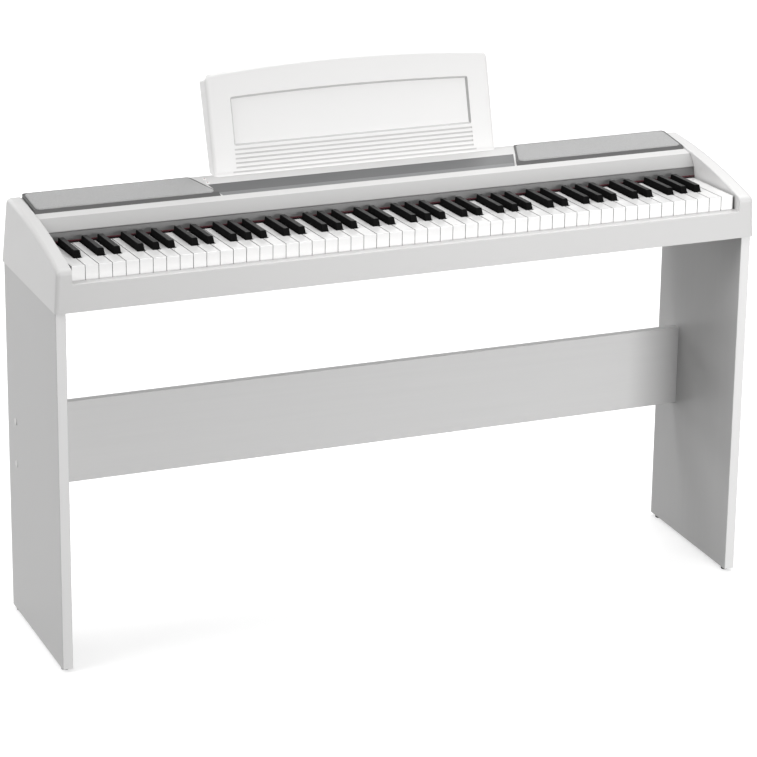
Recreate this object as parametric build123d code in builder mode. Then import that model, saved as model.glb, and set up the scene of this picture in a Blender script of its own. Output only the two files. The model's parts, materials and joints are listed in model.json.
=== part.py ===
from build123d import *

import os
from math import atan2, cos, degrees, radians, sin, tan

# Digital piano on a panel stand.
#
# Millimetres, +X to the player's right, +Y to the back, +Z up. The origin is on the floor, under the
# middle of the overall box. Most profiles are drawn in the keyboard's own measure: `y` back from the
# white keys' front faces and `z` up from their front top edge, and FRONT and KEYTOP turn them into
# the part's frame.

os.makedirs("parts", exist_ok=True)

# ---- driving dimensions -------------------------------------------------------------------------

FRONT = -167.35         # Y of the white keys' front faces
KEYTOP = 721.3          # Z of the white keys' front top edge above the floor

# keyboard
PITCH = 23.5            # one white key and its gap
KEY_GAP = 1.0
WHITE_KEYS = 52
KEY_DEPTH = 27.0        # front face height, 2 mm of it hidden by the key slip
KEY_SLOPE = 3.0         # degrees the key tops fall towards the back
KEY_LENGTH = 226.0
KEY_EDGE_R = 0.8
NOTCH_Y = 49.2          # where the white heads end and the black keys begin
TAIL_DROP_Y = 151.5     # behind this the tails run lower, under the felt
TAIL_TOP = -12.0
TAIL_BOTTOM = -26.0
PIVOT_Y = 218.0
PIVOT_Z = -21.0
PIVOT_R = 4.0
PIVOT_CLEARANCE = 0.3
BLACK_FOOT = 12.5
BLACK_TOP = 9.6
BLACK_RISE = 12.0       # top of a black key over the white ones
BLACK_START = 50.0
BLACK_END = 149.0
BLACK_FRONT_RUN = 5.5   # how far back the front slope has gone at the top
BLACK_REAR_RUN = 1.0
BLACK_EDGE_R = 1.3
BLACK_SKIRT = 4.0       # how far the cap reaches below the white tops
BLACK_FOOT_DROP = 1.5   # the low body behind it lies this much under the white tails

# case of the instrument
HALF_WIDTH = 646.0
WELL_HALF = 615.0       # inner faces of the two cheeks
WALL = 3.0
CASE_FRONT = -18.5
CASE_BOTTOM = -74.0
CASE_REAR_BOTTOM = 301.0
CASE_REAR_TOP = 288.0
CASE_TOP = 42.5
CHEEK_FRONT_TOP = -1.0  # where the cheek's top curve would meet the front
CHEEK_MIDDLE = (130.0, 29.4)   # a point halfway along that curve
CHEEK_FRONT_R = 10.0
CHEEK_REAR_R = 12.0
CHEEK_SIDE_R = 7.0
CHEEK_LEAN = 7.0        # how far the outer sides lean in over the height of the case
CHEEK_INNER_R = 2.0
SLIP_TOP = -25.0
SLIP_BACK = -1.2
SLIP_EDGE_R = 1.5
BOTTOM_THICK = 6.0
BOTTOM_GAP = 0.4        # all round the bottom board

# deck between the cheeks
LEDGE_FRONT = (178.0, 30.5)
LEDGE_BACK = (200.0, 33.0)
DECK_REAR_Z = 41.5
ISLAND_FRONT_HALF = 279.8   # half width of the raised middle at LEDGE_BACK
ISLAND_SPLAY = 0.36         # how much it widens per mm towards the back
ISLAND_RIB = 3.5            # thin white rib on each side of the dark panel
PANEL_FOLD = (212.0, 35.3)
PANEL_BACK = (240.0, 43.0)
ISLAND_REAR_Z = 47.0
ISLAND_REAR_R = 8.0
ISLAND_FOOT_Z = 20.0        # where its rear face runs out on the wall
PANEL_THICK = 2.4

# speaker grilles
GRILLE_OUTER = 613.0
GRILLE_BACK = 284.0
GRILLE_FRONT_RISE = 5.4
GRILLE_FRONT_RUN = 6.0
GRILLE_CORNER_R = 7.0
CLOTH_INSET = 4.6
CLOTH_THICK = 2.6
CLOTH_SUNK = 1.0
CLOTH_EDGE_R = 1.1
GRILLE_GAP = 0.4         # beside the raised middle
SPEAKER_X = 450.0
SPEAKER_Y = 246.0
SPEAKER_RIM = (70.0, 33.0)      # half length and half width of the oval drivers
SPEAKER_MOUTH = (60.0, 27.0)
SPEAKER_CONE = (53.0, 23.0)
CONE_THROAT = (14.0, 12.0)
BASKET_WAIST = (24.0, 18.0)
BASKET_DEPTH = 20.0
MAGNET_R = 25.0
MAGNET_DEPTH = 12.0
SPEAKER_SHEET = 1.5
SPEAKER_GAP = 0.3
PAPER = 1.0
SPEAKER_WINDOW = (150.0, 60.0)  # opening in the grille base over each driver
SPEAKER_WINDOW_R = 20.0

# fallboard strip
STRIP_FOOT = (159.4, 11.3)
STRIP_MIDDLE = (168.4, 22.2)
STRIP_LIP = (161.2, 8.6)
STRIP_SKIRT = (157.4, -4.6)
STRIP_FOOT_R = 1.4
FELT_BOTTOM = -7.2
FELT_EDGE_R = 0.8
FELT_PROUD = 2.4         # how far the felt stands in front of the skirt
WELL_CLEARANCE = 0.4     # between the strip's ends and the cheeks

# music rest
REST_Y = 268.0
REST_Z = 45.9
REST_TILT = 16.0
REST_WIDTH = 536.0
REST_SHOULDER = 178.0
REST_CROWN = 190.5
REST_FOOT_DEPTH = 24.0
REST_HEAD_DEPTH = 34.0
REST_CORNER_R = 13.0
REST_EDGE_R = 6.0
REST_SKIN = 3.0
RECESS_HALF = 226.0
RECESS_LOW = 51.0
RECESS_HIGH = 137.0
RECESS_CROWN = 142.0
RECESS_DEPTH = 4.5
RECESS_DRAFT = 40.0      # degrees the walls of the recess slope
RECESS_R = 4.0
GROOVES = 5
GROOVE_FIRST = 13.3
GROOVE_STEP = 7.8
GROOVE_WIDTH = 3.0
GROOVE_DEPTH = 1.8
TONGUE_HALF = 240.0
TONGUE_THICK = 8.0
TONGUE_BACK = 6.0       # tongue's front face behind the rest's own
TONGUE_DEEP = 14.0
SLOT_CLEARANCE = 0.5
REST_SEAT_GAP = 0.25
BACK_CLEARANCE = 0.3

# buttons
BUTTON_X = -288.0
BUTTON_YS = (("power_button", 246.0), ("song_button", 264.0))
BUTTON_R = 4.0
BUTTON_PROUD = 1.4
BUTTON_CLEARANCE = 0.35
BUTTON_FLANGE = 1.5      # width and thickness of the flange under the deck
BUTTON_SLACK = 0.3      # between the flange and the deck above it

# jacks in the back of the case
JACK_PANEL_X = 400.0
JACK_PANEL_SIZE = (150.0, 30.0)
JACK_PANEL_Z = -42.0
JACK_PITCH = 34.0
JACK_SHIFT = 12.0        # the row of jacks sits off the panel's middle
JACK_PANEL_R = 3.0
JACK_PANEL_LIP = 4.0     # inner flange beyond the window
JACK_PANEL_GAP = 0.3
JACK_COLLAR = 1.8        # hexagonal nut round each jack
JACK_BORE_R = 3.25
JACK_BORE_DEEP = 24.0
JACK_BARREL_R = 4.5
JACK_PANEL_SUNK = 1.5
JACK_PANEL_THICK = 2.0
INLET_X_OFFSET = -58.0
INLET_R = 5.0
INLET_BORE_R = 2.8
INLET_PIN_R = 1.0
INLET_PROUD = 0.4
INLET_DEEP = 12.0        # open sleeve
INLET_BLOCK = 4.0        # closed block behind the sleeve
INLET_PIN = 9.5

# stand
LEG_OUTER = 643.6
LEG_THICK = 18.0
LEG_FRONT = -11.2
LEG_DEPTH = 304.6
FOOT_HEIGHT = 6.0
FOOT_R = 7.0
FOOT_EDGE_R = 1.2
FOOT_INSET = 17.0
FOOT_STEM_R = 2.6
FOOT_STEM = 14.0
BOARD_FRONT = 211.6
BOARD_THICK = 15.0
BOARD_BOTTOM = -464.3
BOARD_HEIGHT = 149.4
BOLT_Y = 246.0
BOLT_ZS = (-352.0, -431.0)
PANEL_CHAMFER = 0.8
STEEL = 2.0

# inside
CHASSIS_Z = -60.0
CHASSIS_FRONT = 8.0
CHASSIS_STEP = (52.0, 58.0)     # where the front shelf steps down to the floor of the tray
CHASSIS_BACK = 232.0
CHASSIS_END_GAP = 5.0           # between the tray's ends and the cheeks
SHELF_Z = -40.0
STOP_FELT = 3.8
STOP_FELT_DEPTH = 26.0
PIVOT_FOOT = (18.0, 3.0)        # width and thickness of the rail's flange
BOARD_Z = -56.0
BOARD_SHEET = 1.6
CONTACT_Y = 120.0
CONTACT_DEPTH = 46.0
DOME_R = 4.0
DOME_HEIGHT = 5.0
DOME_ROW = 18.0                 # between the two rows of contact domes
STANDOFF_PITCH = 280.0
STANDOFF_SIZE = (8.0, 30.0)
MAIN_BOARD_Y = 264.0
MAIN_BOARD_SIZE = (220.0, 50.0)
CHIP_SIZE = 18.0
CHIP_PITCH = 60.0
CHIP_HEIGHT = 2.0
CAN_R = 4.0                     # round capacitors
CAN_PITCH = 30.0
CAN_HEIGHT = 9.0
POST_R = 3.0

# fasteners and brackets
INSERT_X = 610.0
INSERT_YS = (140.0, 240.0)
INSERT_R = 4.5
KNOB_BOLT_R = 2.9
KNOB_R = 11.0
KNOB_HEIGHT = 11.0
KNOB_FLUTE_R = 2.4
KNOB_FLUTES = 8
CASE_SCREW_R = 1.8
SCREW_HEAD_R = 4.0
SCREW_HEAD = 2.2
SCREW_HEAD_EDGE_R = 1.2
SCREW_CROSS = (4.6, 0.9)
SCREW_CROSS_DEEP = 1.2
SCREW_REACH = 10.0
PILOT_DEEP = 12.0
HOLE_CLEARANCE = 0.2
CASE_SCREW_XS = (-560.0, -280.0, 0.0, 280.0, 560.0)
CASE_SCREW_YS = (0.0, 284.0)
BOLT_R = 3.0
BOLT_HEAD_R = 5.5
BOLT_HEAD = 4.0
BOLT_SINK = 6.0
BOLT_TAIL = 8.0
NUT_HEIGHT = 5.0
CAP_R = 6.3
CAP_PROUD = 0.9
CAP_EDGE_R = 0.8
BRACKET_LEAF = 36.0
BRACKET_HEIGHT = 120.0
CASE_LEAF = 32.0
CASE_BRACKET_Y = 190.0
CASE_BRACKET_LENGTH = 170.0
BRACKET_SCREW_Z = -92.0
BRACKET_SCREW_STEP = 60.0


# ---- helpers ------------------------------------------------------------------------------------

def yz(y, z):
    """A point of a side profile, from the keyboard's own measure to the part's frame."""
    return (FRONT + y, KEYTOP + z)


def corner_near(profile, y, z):
    """The corner of an unfinished side profile that lies nearest to a point."""
    return profile.vertices().sort_by_distance(yz(y, z))[0]


def side_plane(x):
    """The plane at x that side profiles are drawn on: its own x is +Y and its own y is +Z."""
    return Plane.YZ.offset(x)


def deck_z(y):
    """Height of the deck under the grilles, which rises from the ledge to the back."""
    run = CASE_REAR_TOP - LEDGE_BACK[0]
    return LEDGE_BACK[1] + (DECK_REAR_Z - LEDGE_BACK[1]) * (y - LEDGE_BACK[0]) / run


def island_z(y):
    """Height of the white plateau behind the dark middle panel."""
    run = CASE_REAR_TOP - PANEL_BACK[0]
    return PANEL_BACK[1] + (ISLAND_REAR_Z - PANEL_BACK[1]) * (y - PANEL_BACK[0]) / run


def island_half(y):
    """Half width of the raised middle at depth y."""
    return ISLAND_FRONT_HALF + ISLAND_SPLAY * (y - LEDGE_BACK[0])


def rear_y(z):
    """Depth of the rear wall's outer face at height z: the wall leans forward as it rises."""
    lean = (CASE_REAR_BOTTOM - CASE_REAR_TOP) / (CASE_TOP - CASE_BOTTOM)
    return CASE_REAR_BOTTOM - lean * (z - CASE_BOTTOM)


def write(part, name):
    """Label one finished piece and write it."""
    part.label = name
    export_step(part, f"parts/{name}.step")


DECK_ANGLE = degrees(atan2(DECK_REAR_Z - LEDGE_BACK[1], CASE_REAR_TOP - LEDGE_BACK[0]))
ISLAND_ANGLE = degrees(atan2(ISLAND_REAR_Z - PANEL_BACK[1], CASE_REAR_TOP - PANEL_BACK[0]))
REAR_LEAN = degrees(atan2(CASE_REAR_BOTTOM - CASE_REAR_TOP, CASE_TOP - CASE_BOTTOM))
BOTTOM_WIDTH = 2 * (HALF_WIDTH - WALL)
BOTTOM_DEPTH = rear_y(CASE_BOTTOM + BOTTOM_THICK) - CASE_FRONT - 2 * WALL
BOTTOM_MIDDLE = FRONT + CASE_FRONT + WALL + BOTTOM_DEPTH / 2
FLOOR_Z = -KEYTOP
CHASSIS_FOOT_Z = CASE_BOTTOM + BOTTOM_THICK
LEG_INNER = LEG_OUTER - LEG_THICK
LEG_BOTTOM = FLOOR_Z + FOOT_HEIGHT


# ---- upper case: cheeks, key slip, deck and rear wall in one moulding ---------------------------

def cheek_outline(x, inset=0.0):
    """Side silhouette of the case, drawn in by `inset` for the hollow inside it."""
    with BuildSketch(side_plane(x)) as outline:
        with BuildLine():
            front = Line(yz(CASE_FRONT, CASE_BOTTOM), yz(CASE_FRONT, CHEEK_FRONT_TOP))
            top = ThreePointArc(front @ 1, yz(*CHEEK_MIDDLE), yz(CASE_REAR_TOP, CASE_TOP))
            rear = Line(top @ 1, yz(CASE_REAR_BOTTOM, CASE_BOTTOM))
            Line(rear @ 1, front @ 0)
        make_face()
        fillet(corner_near(outline, CASE_FRONT, CHEEK_FRONT_TOP), CHEEK_FRONT_R)
        fillet(corner_near(outline, CASE_REAR_TOP, CASE_TOP), CHEEK_REAR_R)
        if inset:
            offset(amount=-inset, kind=Kind.INTERSECTION, mode=Mode.REPLACE)
    return outline.sketch


def lean_wedge(side, inset=0.0):
    """What the lean takes off a cheek's outer side, moved inwards by `inset`."""
    low = KEYTOP + CASE_BOTTOM
    high = KEYTOP + CASE_TOP + WALL
    far = side * (HALF_WIDTH + WALL)
    with BuildPart() as wedge:
        with BuildSketch(Plane.XZ.offset(-FRONT - CASE_REAR_BOTTOM - WALL)):
            with BuildLine():
                Polyline(
                    (side * (HALF_WIDTH - inset), low),
                    (side * (HALF_WIDTH - CHEEK_LEAN - inset), high),
                    (far, high),
                    (far, low),
                    close=True,
                )
            make_face()
        extrude(amount=CASE_REAR_BOTTOM - CASE_FRONT + 2 * WALL)
    return wedge.part


def cheek_hollow(side, start, width):
    """The space inside a cheek, a wall's thickness in from each of its faces."""
    profile = cheek_outline(start + WALL, WALL)
    with BuildPart() as space:
        extrude(profile, amount=width - 2 * WALL)
        add(lean_wedge(side, WALL), mode=Mode.SUBTRACT)
    return space.part


def cheek(side):
    """One hollow cheek, open below. side is -1 on the player's left and +1 on the right."""
    start = WELL_HALF if side > 0 else -HALF_WIDTH
    width = HALF_WIDTH - WELL_HALF
    profile = cheek_outline(start)
    wedge = lean_wedge(side)
    hollow = cheek_hollow(side, start, width)
    with BuildPart() as block:
        extrude(profile, amount=width)
        add(wedge, mode=Mode.SUBTRACT)
        outer = block.faces().sort_by(Axis.X)[-1 if side > 0 else 0]
        inner = block.faces().sort_by(Axis.X)[0 if side > 0 else -1]
        base = block.faces().sort_by(Axis.Z)[0]
        fillet([e for e in outer.edges() if e not in base.edges()], CHEEK_SIDE_R)
        rim = inner.edges().sort_by(Axis.Z)[-1]
        fillet(rim, CHEEK_INNER_R)
        add(hollow, mode=Mode.SUBTRACT)
    return block.part


def key_slip():
    """Box-shaped rail in front of the keys, open below, with the flat ledge on top."""
    half = WELL_HALF + CHEEK_INNER_R
    with BuildPart() as slip:
        with BuildSketch(side_plane(-half)) as section:
            with BuildLine():
                Polyline(
                    yz(CASE_FRONT, CASE_BOTTOM),
                    yz(CASE_FRONT, SLIP_TOP),
                    yz(SLIP_BACK, SLIP_TOP),
                    yz(SLIP_BACK, SHELF_Z),
                    yz(SLIP_BACK - WALL, SHELF_Z),
                    yz(SLIP_BACK - WALL, SLIP_TOP - WALL),
                    yz(CASE_FRONT + WALL, SLIP_TOP - WALL),
                    yz(CASE_FRONT + WALL, CASE_BOTTOM),
                    close=True,
                )
            make_face()
            fillet(corner_near(section, CASE_FRONT, SLIP_TOP), SLIP_EDGE_R)
        extrude(amount=2 * half)
    return slip.part


def deck():
    """Ledge behind the fallboard, the deck under the grilles and the rear wall, one bent sheet."""
    with BuildPart() as sheet:
        with BuildSketch(side_plane(-WELL_HALF)) as section:
            with BuildLine():
                Polyline(
                    yz(*LEDGE_FRONT),
                    yz(*LEDGE_BACK),
                    yz(rear_y(DECK_REAR_Z), DECK_REAR_Z),
                    yz(CASE_REAR_BOTTOM, CASE_BOTTOM),
                    yz(CASE_REAR_BOTTOM - WALL, CASE_BOTTOM),
                    yz(rear_y(DECK_REAR_Z - WALL) - WALL, DECK_REAR_Z - WALL),
                    yz(LEDGE_BACK[0], LEDGE_BACK[1] - WALL),
                    yz(LEDGE_FRONT[0], LEDGE_FRONT[1] - WALL),
                    close=True,
                )
            make_face()
            fillet(corner_near(section, CASE_REAR_TOP, DECK_REAR_Z), CHEEK_REAR_R)
            fillet(corner_near(section, CASE_REAR_TOP - WALL, DECK_REAR_Z - WALL), CHEEK_REAR_R - WALL)
        extrude(amount=2 * WELL_HALF)
    return sheet.part


def island():
    """Raised middle of the deck: a trapezoid in plan, with a pocket for the dark panel."""
    y_front = LEDGE_BACK[0]
    y_back = CASE_REAR_TOP + 2 * WALL
    with BuildPart() as raised:
        with BuildSketch(Plane.XY.offset(KEYTOP + ISLAND_FOOT_Z)):
            with BuildLine():
                Polyline(
                    (-island_half(y_front), FRONT + y_front),
                    (island_half(y_front), FRONT + y_front),
                    (island_half(y_back), FRONT + y_back),
                    (-island_half(y_back), FRONT + y_back),
                    close=True,
                )
            make_face()
        extrude(amount=ISLAND_REAR_Z - ISLAND_FOOT_Z + WALL)
        with BuildSketch(side_plane(-WELL_HALF)) as section:
            with BuildLine():
                Polyline(
                    yz(*LEDGE_BACK),
                    yz(*PANEL_FOLD),
                    yz(*PANEL_BACK),
                    yz(rear_y(ISLAND_REAR_Z), ISLAND_REAR_Z),
                    yz(rear_y(ISLAND_FOOT_Z), ISLAND_FOOT_Z),
                    yz(rear_y(ISLAND_FOOT_Z) - WALL / 2, ISLAND_FOOT_Z),
                    yz(rear_y(DECK_REAR_Z) - CHEEK_REAR_R, DECK_REAR_Z - WALL / 2),
                    yz(y_front, LEDGE_BACK[1] - WALL / 2),
                    close=True,
                )
            make_face()
            fillet(corner_near(section, CASE_REAR_TOP, ISLAND_REAR_Z), ISLAND_REAR_R)
        extrude(amount=2 * WELL_HALF, mode=Mode.INTERSECT)
    return raised.part


def panel_blank(clearance):
    """The dark middle panel's body: two slopes over a trapezoid, smaller by `clearance` all round."""
    y_front = LEDGE_BACK[0]
    y_back = PANEL_BACK[0] - clearance
    rib = ISLAND_RIB + clearance
    with BuildPart() as blank:
        with BuildSketch(Plane.XY.offset(KEYTOP + LEDGE_BACK[1] - WALL)):
            with BuildLine():
                Polyline(
                    (rib - island_half(y_front), FRONT + y_front),
                    (island_half(y_front) - rib, FRONT + y_front),
                    (island_half(y_back) - rib, FRONT + y_back),
                    (rib - island_half(y_back), FRONT + y_back),
                    close=True,
                )
            make_face()
        extrude(amount=ISLAND_REAR_Z - LEDGE_BACK[1] + WALL)
        with BuildSketch(side_plane(-WELL_HALF)):
            with BuildLine():
                Polyline(
                    yz(*LEDGE_BACK),
                    yz(*PANEL_FOLD),
                    yz(*PANEL_BACK),
                    yz(PANEL_BACK[0], PANEL_BACK[1] - PANEL_THICK),
                    yz(PANEL_FOLD[0], PANEL_FOLD[1] - PANEL_THICK),
                    yz(LEDGE_BACK[0], LEDGE_BACK[1] - PANEL_THICK),
                    close=True,
                )
            make_face()
        extrude(amount=2 * WELL_HALF, mode=Mode.INTERSECT)
    return blank.part


def rest_plane(x=0.0):
    """Side plane turned into the music rest's tilt: own x is off its back, own y is up its face."""
    upright = Vector(0, sin(radians(REST_TILT)), cos(radians(REST_TILT)))
    off_back = Vector(0, cos(radians(REST_TILT)), -sin(radians(REST_TILT)))
    origin = Vector(x, FRONT + REST_Y, KEYTOP + REST_Z)
    return Plane(origin=origin, x_dir=off_back, z_dir=off_back.cross(upright))


def tongue(half, clearance):
    """The blade under the music rest, or with a clearance the slot that it drops into."""
    with BuildPart() as blade:
        with BuildSketch(rest_plane(-half - clearance)):
            with Locations((TONGUE_BACK + TONGUE_THICK / 2, REST_SKIN - TONGUE_DEEP / 2)):
                Rectangle(TONGUE_THICK + 2 * clearance, TONGUE_DEEP + 2 * (clearance + REST_SKIN))
        extrude(amount=2 * (half + clearance))
    return blade.part


def tilted(x, y, z, angle):
    """Plane at a point of the deck, its normal tipped forward by `angle` degrees."""
    normal = Vector(0, -sin(radians(angle)), cos(radians(angle)))
    return Plane(origin=(x, FRONT + y, KEYTOP + z), x_dir=(1, 0, 0), z_dir=normal)


def rear_plane(x, z):
    """Plane on the rear wall's outer face, with its normal out of the back."""
    normal = Vector(0, cos(radians(REAR_LEAN)), sin(radians(REAR_LEAN)))
    return Plane(origin=(x, FRONT + rear_y(z), KEYTOP + z), x_dir=(-1, 0, 0), z_dir=normal)


case_parts = [cheek(-1), cheek(1), key_slip(), deck(), island()]
panel_pocket = panel_blank(0.0)
rest_slot = tongue(TONGUE_HALF, SLOT_CLEARANCE)

with BuildPart() as upper_case:
    add(case_parts)
    add(panel_pocket, mode=Mode.SUBTRACT)
    add(rest_slot, mode=Mode.SUBTRACT)
    with BuildSketch(Plane.XY.offset(KEYTOP + CASE_BOTTOM)):
        with Locations((0, BOTTOM_MIDDLE)):
            Rectangle(BOTTOM_WIDTH, BOTTOM_DEPTH)
    extrude(amount=BOTTOM_THICK, mode=Mode.SUBTRACT)
    for _, y in BUTTON_YS:
        with BuildSketch(tilted(BUTTON_X, y, island_z(y) + WALL, ISLAND_ANGLE)):
            Circle(BUTTON_R + BUTTON_CLEARANCE)
        extrude(amount=-8 * WALL, mode=Mode.SUBTRACT)
    for side in (-1, 1):
        with BuildSketch(tilted(side * SPEAKER_X, SPEAKER_Y, deck_z(SPEAKER_Y) + WALL, DECK_ANGLE)):
            Ellipse(SPEAKER_MOUTH[0] + 1.0, SPEAKER_MOUTH[1])
        extrude(amount=-4 * WALL, mode=Mode.SUBTRACT)
    with BuildSketch(rear_plane(JACK_PANEL_X, JACK_PANEL_Z)):
        RectangleRounded(*JACK_PANEL_SIZE, JACK_PANEL_R)
    extrude(amount=-2 * WALL, mode=Mode.SUBTRACT)

write(upper_case.part, "upper_case")

# ---- fallboard strip and the felt behind the keys -----------------------------------------------

with BuildPart() as fallboard:
    with BuildSketch(side_plane(WELL_CLEARANCE - WELL_HALF)) as strip_section:
        with BuildLine():
            face = ThreePointArc(yz(*LEDGE_FRONT), yz(*STRIP_MIDDLE), yz(*STRIP_FOOT))
            Polyline(
                face @ 1,
                yz(*STRIP_LIP),
                yz(*STRIP_SKIRT),
                yz(STRIP_SKIRT[0] + WALL, STRIP_SKIRT[1]),
                yz(STRIP_LIP[0] + WALL, STRIP_LIP[1]),
                yz(LEDGE_FRONT[0], LEDGE_FRONT[1] - 2 * WALL),
                face @ 0,
            )
        make_face()
        fillet(corner_near(strip_section, *STRIP_FOOT), STRIP_FOOT_R)
    extrude(amount=2 * (WELL_HALF - WELL_CLEARANCE))

write(fallboard.part, "fallboard")

with BuildPart() as key_felt:
    with BuildSketch(side_plane(2 * WELL_CLEARANCE - WELL_HALF)):
        with BuildLine():
            Polyline(
                yz(STRIP_SKIRT[0] - FELT_PROUD, STRIP_SKIRT[1]),
                yz(STRIP_SKIRT[0] + WALL, STRIP_SKIRT[1]),
                yz(STRIP_SKIRT[0] + WALL, FELT_BOTTOM),
                yz(STRIP_SKIRT[0] - FELT_PROUD, FELT_BOTTOM),
                close=True,
            )
        make_face()
    extrude(amount=2 * (WELL_HALF - 2 * WELL_CLEARANCE))
    fillet(key_felt.edges().filter_by(Axis.X), FELT_EDGE_R)

write(key_felt.part, "key_felt")

# ---- dark middle panel --------------------------------------------------------------------------

center_panel = panel_blank(0.25)
write(center_panel, "center_panel")


# ---- speaker grilles ----------------------------------------------------------------------------

def grille_plan(side, inset):
    """Plan outline of one grille: its inner edge runs along the island, its corners are rounded."""
    y_front = LEDGE_BACK[0] + (GRILLE_FRONT_RUN if inset else 0.0)
    y_back = GRILLE_BACK - inset
    gap = GRILLE_GAP + inset
    with BuildSketch(Plane.XY.offset(KEYTOP + LEDGE_BACK[1] - WALL)) as plan:
        with BuildLine():
            Polyline(
                (side * (island_half(y_front) + gap), FRONT + y_front),
                (side * (GRILLE_OUTER - inset), FRONT + y_front),
                (side * (GRILLE_OUTER - inset), FRONT + y_back),
                (side * (island_half(y_back) + gap), FRONT + y_back),
                close=True,
            )
        make_face()
        rounded = plan.vertices() if inset else plan.vertices().sort_by(Axis.Y)[-2:]
        fillet(rounded, GRILLE_CORNER_R)
    return plan.sketch


def deck_line(rise, y_front, y_back):
    """Two points of a line that runs `rise` above the deck."""
    return yz(y_front, deck_z(y_front) + rise), yz(y_back, deck_z(y_back) + rise)


def grille_base(side):
    """Dark frame on the deck, with a sloped front band and an opening over the speaker."""
    plan = grille_plan(side, 0.0)
    y_front = LEDGE_BACK[0]
    with BuildPart() as base:
        extrude(plan, amount=ISLAND_REAR_Z - LEDGE_BACK[1] + 2 * WALL)
        with BuildSketch(side_plane(-HALF_WIDTH)):
            with BuildLine():
                low = Line(*deck_line(0.0, y_front, GRILLE_BACK))
                high = Line(*deck_line(GRILLE_FRONT_RISE, y_front + GRILLE_FRONT_RUN, GRILLE_BACK))
                Line(low @ 1, high @ 1)
                Line(high @ 0, low @ 0)
            make_face()
        extrude(amount=2 * HALF_WIDTH, mode=Mode.INTERSECT)
        with BuildSketch(tilted(side * SPEAKER_X, SPEAKER_Y, deck_z(SPEAKER_Y), DECK_ANGLE)):
            RectangleRounded(*SPEAKER_WINDOW, SPEAKER_WINDOW_R)
        extrude(amount=3 * WALL, both=True, mode=Mode.SUBTRACT)
    return base.part


def grille_cloth(side):
    """Cloth-covered board that lies on the dark frame, with soft edges all round."""
    plan = grille_plan(side, CLOTH_INSET)
    rise = GRILLE_FRONT_RISE
    with BuildPart() as cloth:
        extrude(plan, amount=ISLAND_REAR_Z - LEDGE_BACK[1] + 3 * WALL)
        with BuildSketch(side_plane(-HALF_WIDTH)):
            with BuildLine():
                low = Line(*deck_line(rise, LEDGE_BACK[0], GRILLE_BACK + WALL))
                high = Line(*deck_line(rise + CLOTH_THICK - CLOTH_SUNK, LEDGE_BACK[0], GRILLE_BACK + WALL))
                Line(low @ 1, high @ 1)
                Line(high @ 0, low @ 0)
            make_face()
        extrude(amount=2 * HALF_WIDTH, mode=Mode.INTERSECT)
        fillet(cloth.faces().filter_by(lambda f: f.normal_at().Z > 0.9).edges(), CLOTH_EDGE_R)
    return cloth.part


for side, name in ((-1, "left"), (1, "right")):
    write(grille_base(side), f"{name}_grille_base")
    write(grille_cloth(side), f"{name}_grille_cloth")


# ---- keys ---------------------------------------------------------------------------------------

# Each octave splits into C to E and F to B. Behind the heads each split is shared out in equal slots,
# one for each key, which is what sets the black keys a little off the joints between the white ones.
SPLITS = ((0, 3, 5), (3, 4, 7))     # first white key, white keys, slots
NOTES = (
    ("c", 0, 0), ("c_sharp", 0, 1), ("d", 0, 2), ("d_sharp", 0, 3), ("e", 0, 4),
    ("f", 1, 0), ("f_sharp", 1, 1), ("g", 1, 2), ("g_sharp", 1, 3), ("a", 1, 4),
    ("a_sharp", 1, 5), ("b", 1, 6),
)
FULL_OCTAVES = range(1, 8)
SINGLE_OCTAVE = 4
LOWEST_NOTES = ("a", "a_sharp", "b")    # below octave 1
HIGHEST_NOTE = "c"                      # above octave 7


def octave_x(octave):
    """Left edge of the C of an octave."""
    return (2 + 7 * (octave - 1) - WHITE_KEYS / 2) * PITCH


def slot_span(octave, split, slot):
    """Left and right edge of a key's slot behind the heads."""
    first, whites, slots = SPLITS[split]
    width = whites * PITCH / slots
    left = octave_x(octave) + first * PITCH + slot * width
    return left, left + width


def key_profile(x, top_drop):
    """Side profile shared by all keys: sloped top, lower tail, and a notch that rocks on the rail."""
    slope = tan(radians(KEY_SLOPE))
    notch_r = PIVOT_R + PIVOT_CLEARANCE
    with BuildSketch(side_plane(x)) as profile:
        with BuildLine():
            Polyline(
                yz(0, -top_drop),
                yz(TAIL_DROP_Y, -top_drop - slope * TAIL_DROP_Y),
                yz(TAIL_DROP_Y + 2.0, TAIL_TOP),
                yz(KEY_LENGTH, TAIL_TOP),
                yz(KEY_LENGTH, TAIL_BOTTOM),
                yz(0, -KEY_DEPTH),
                close=True,
            )
        make_face()
        with Locations(yz(PIVOT_Y, PIVOT_Z)):
            Circle(notch_r, mode=Mode.SUBTRACT)
        with Locations(yz(PIVOT_Y, PIVOT_Z - notch_r)):
            Rectangle(2 * notch_r, 2 * notch_r, mode=Mode.SUBTRACT)
    return profile.sketch


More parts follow.
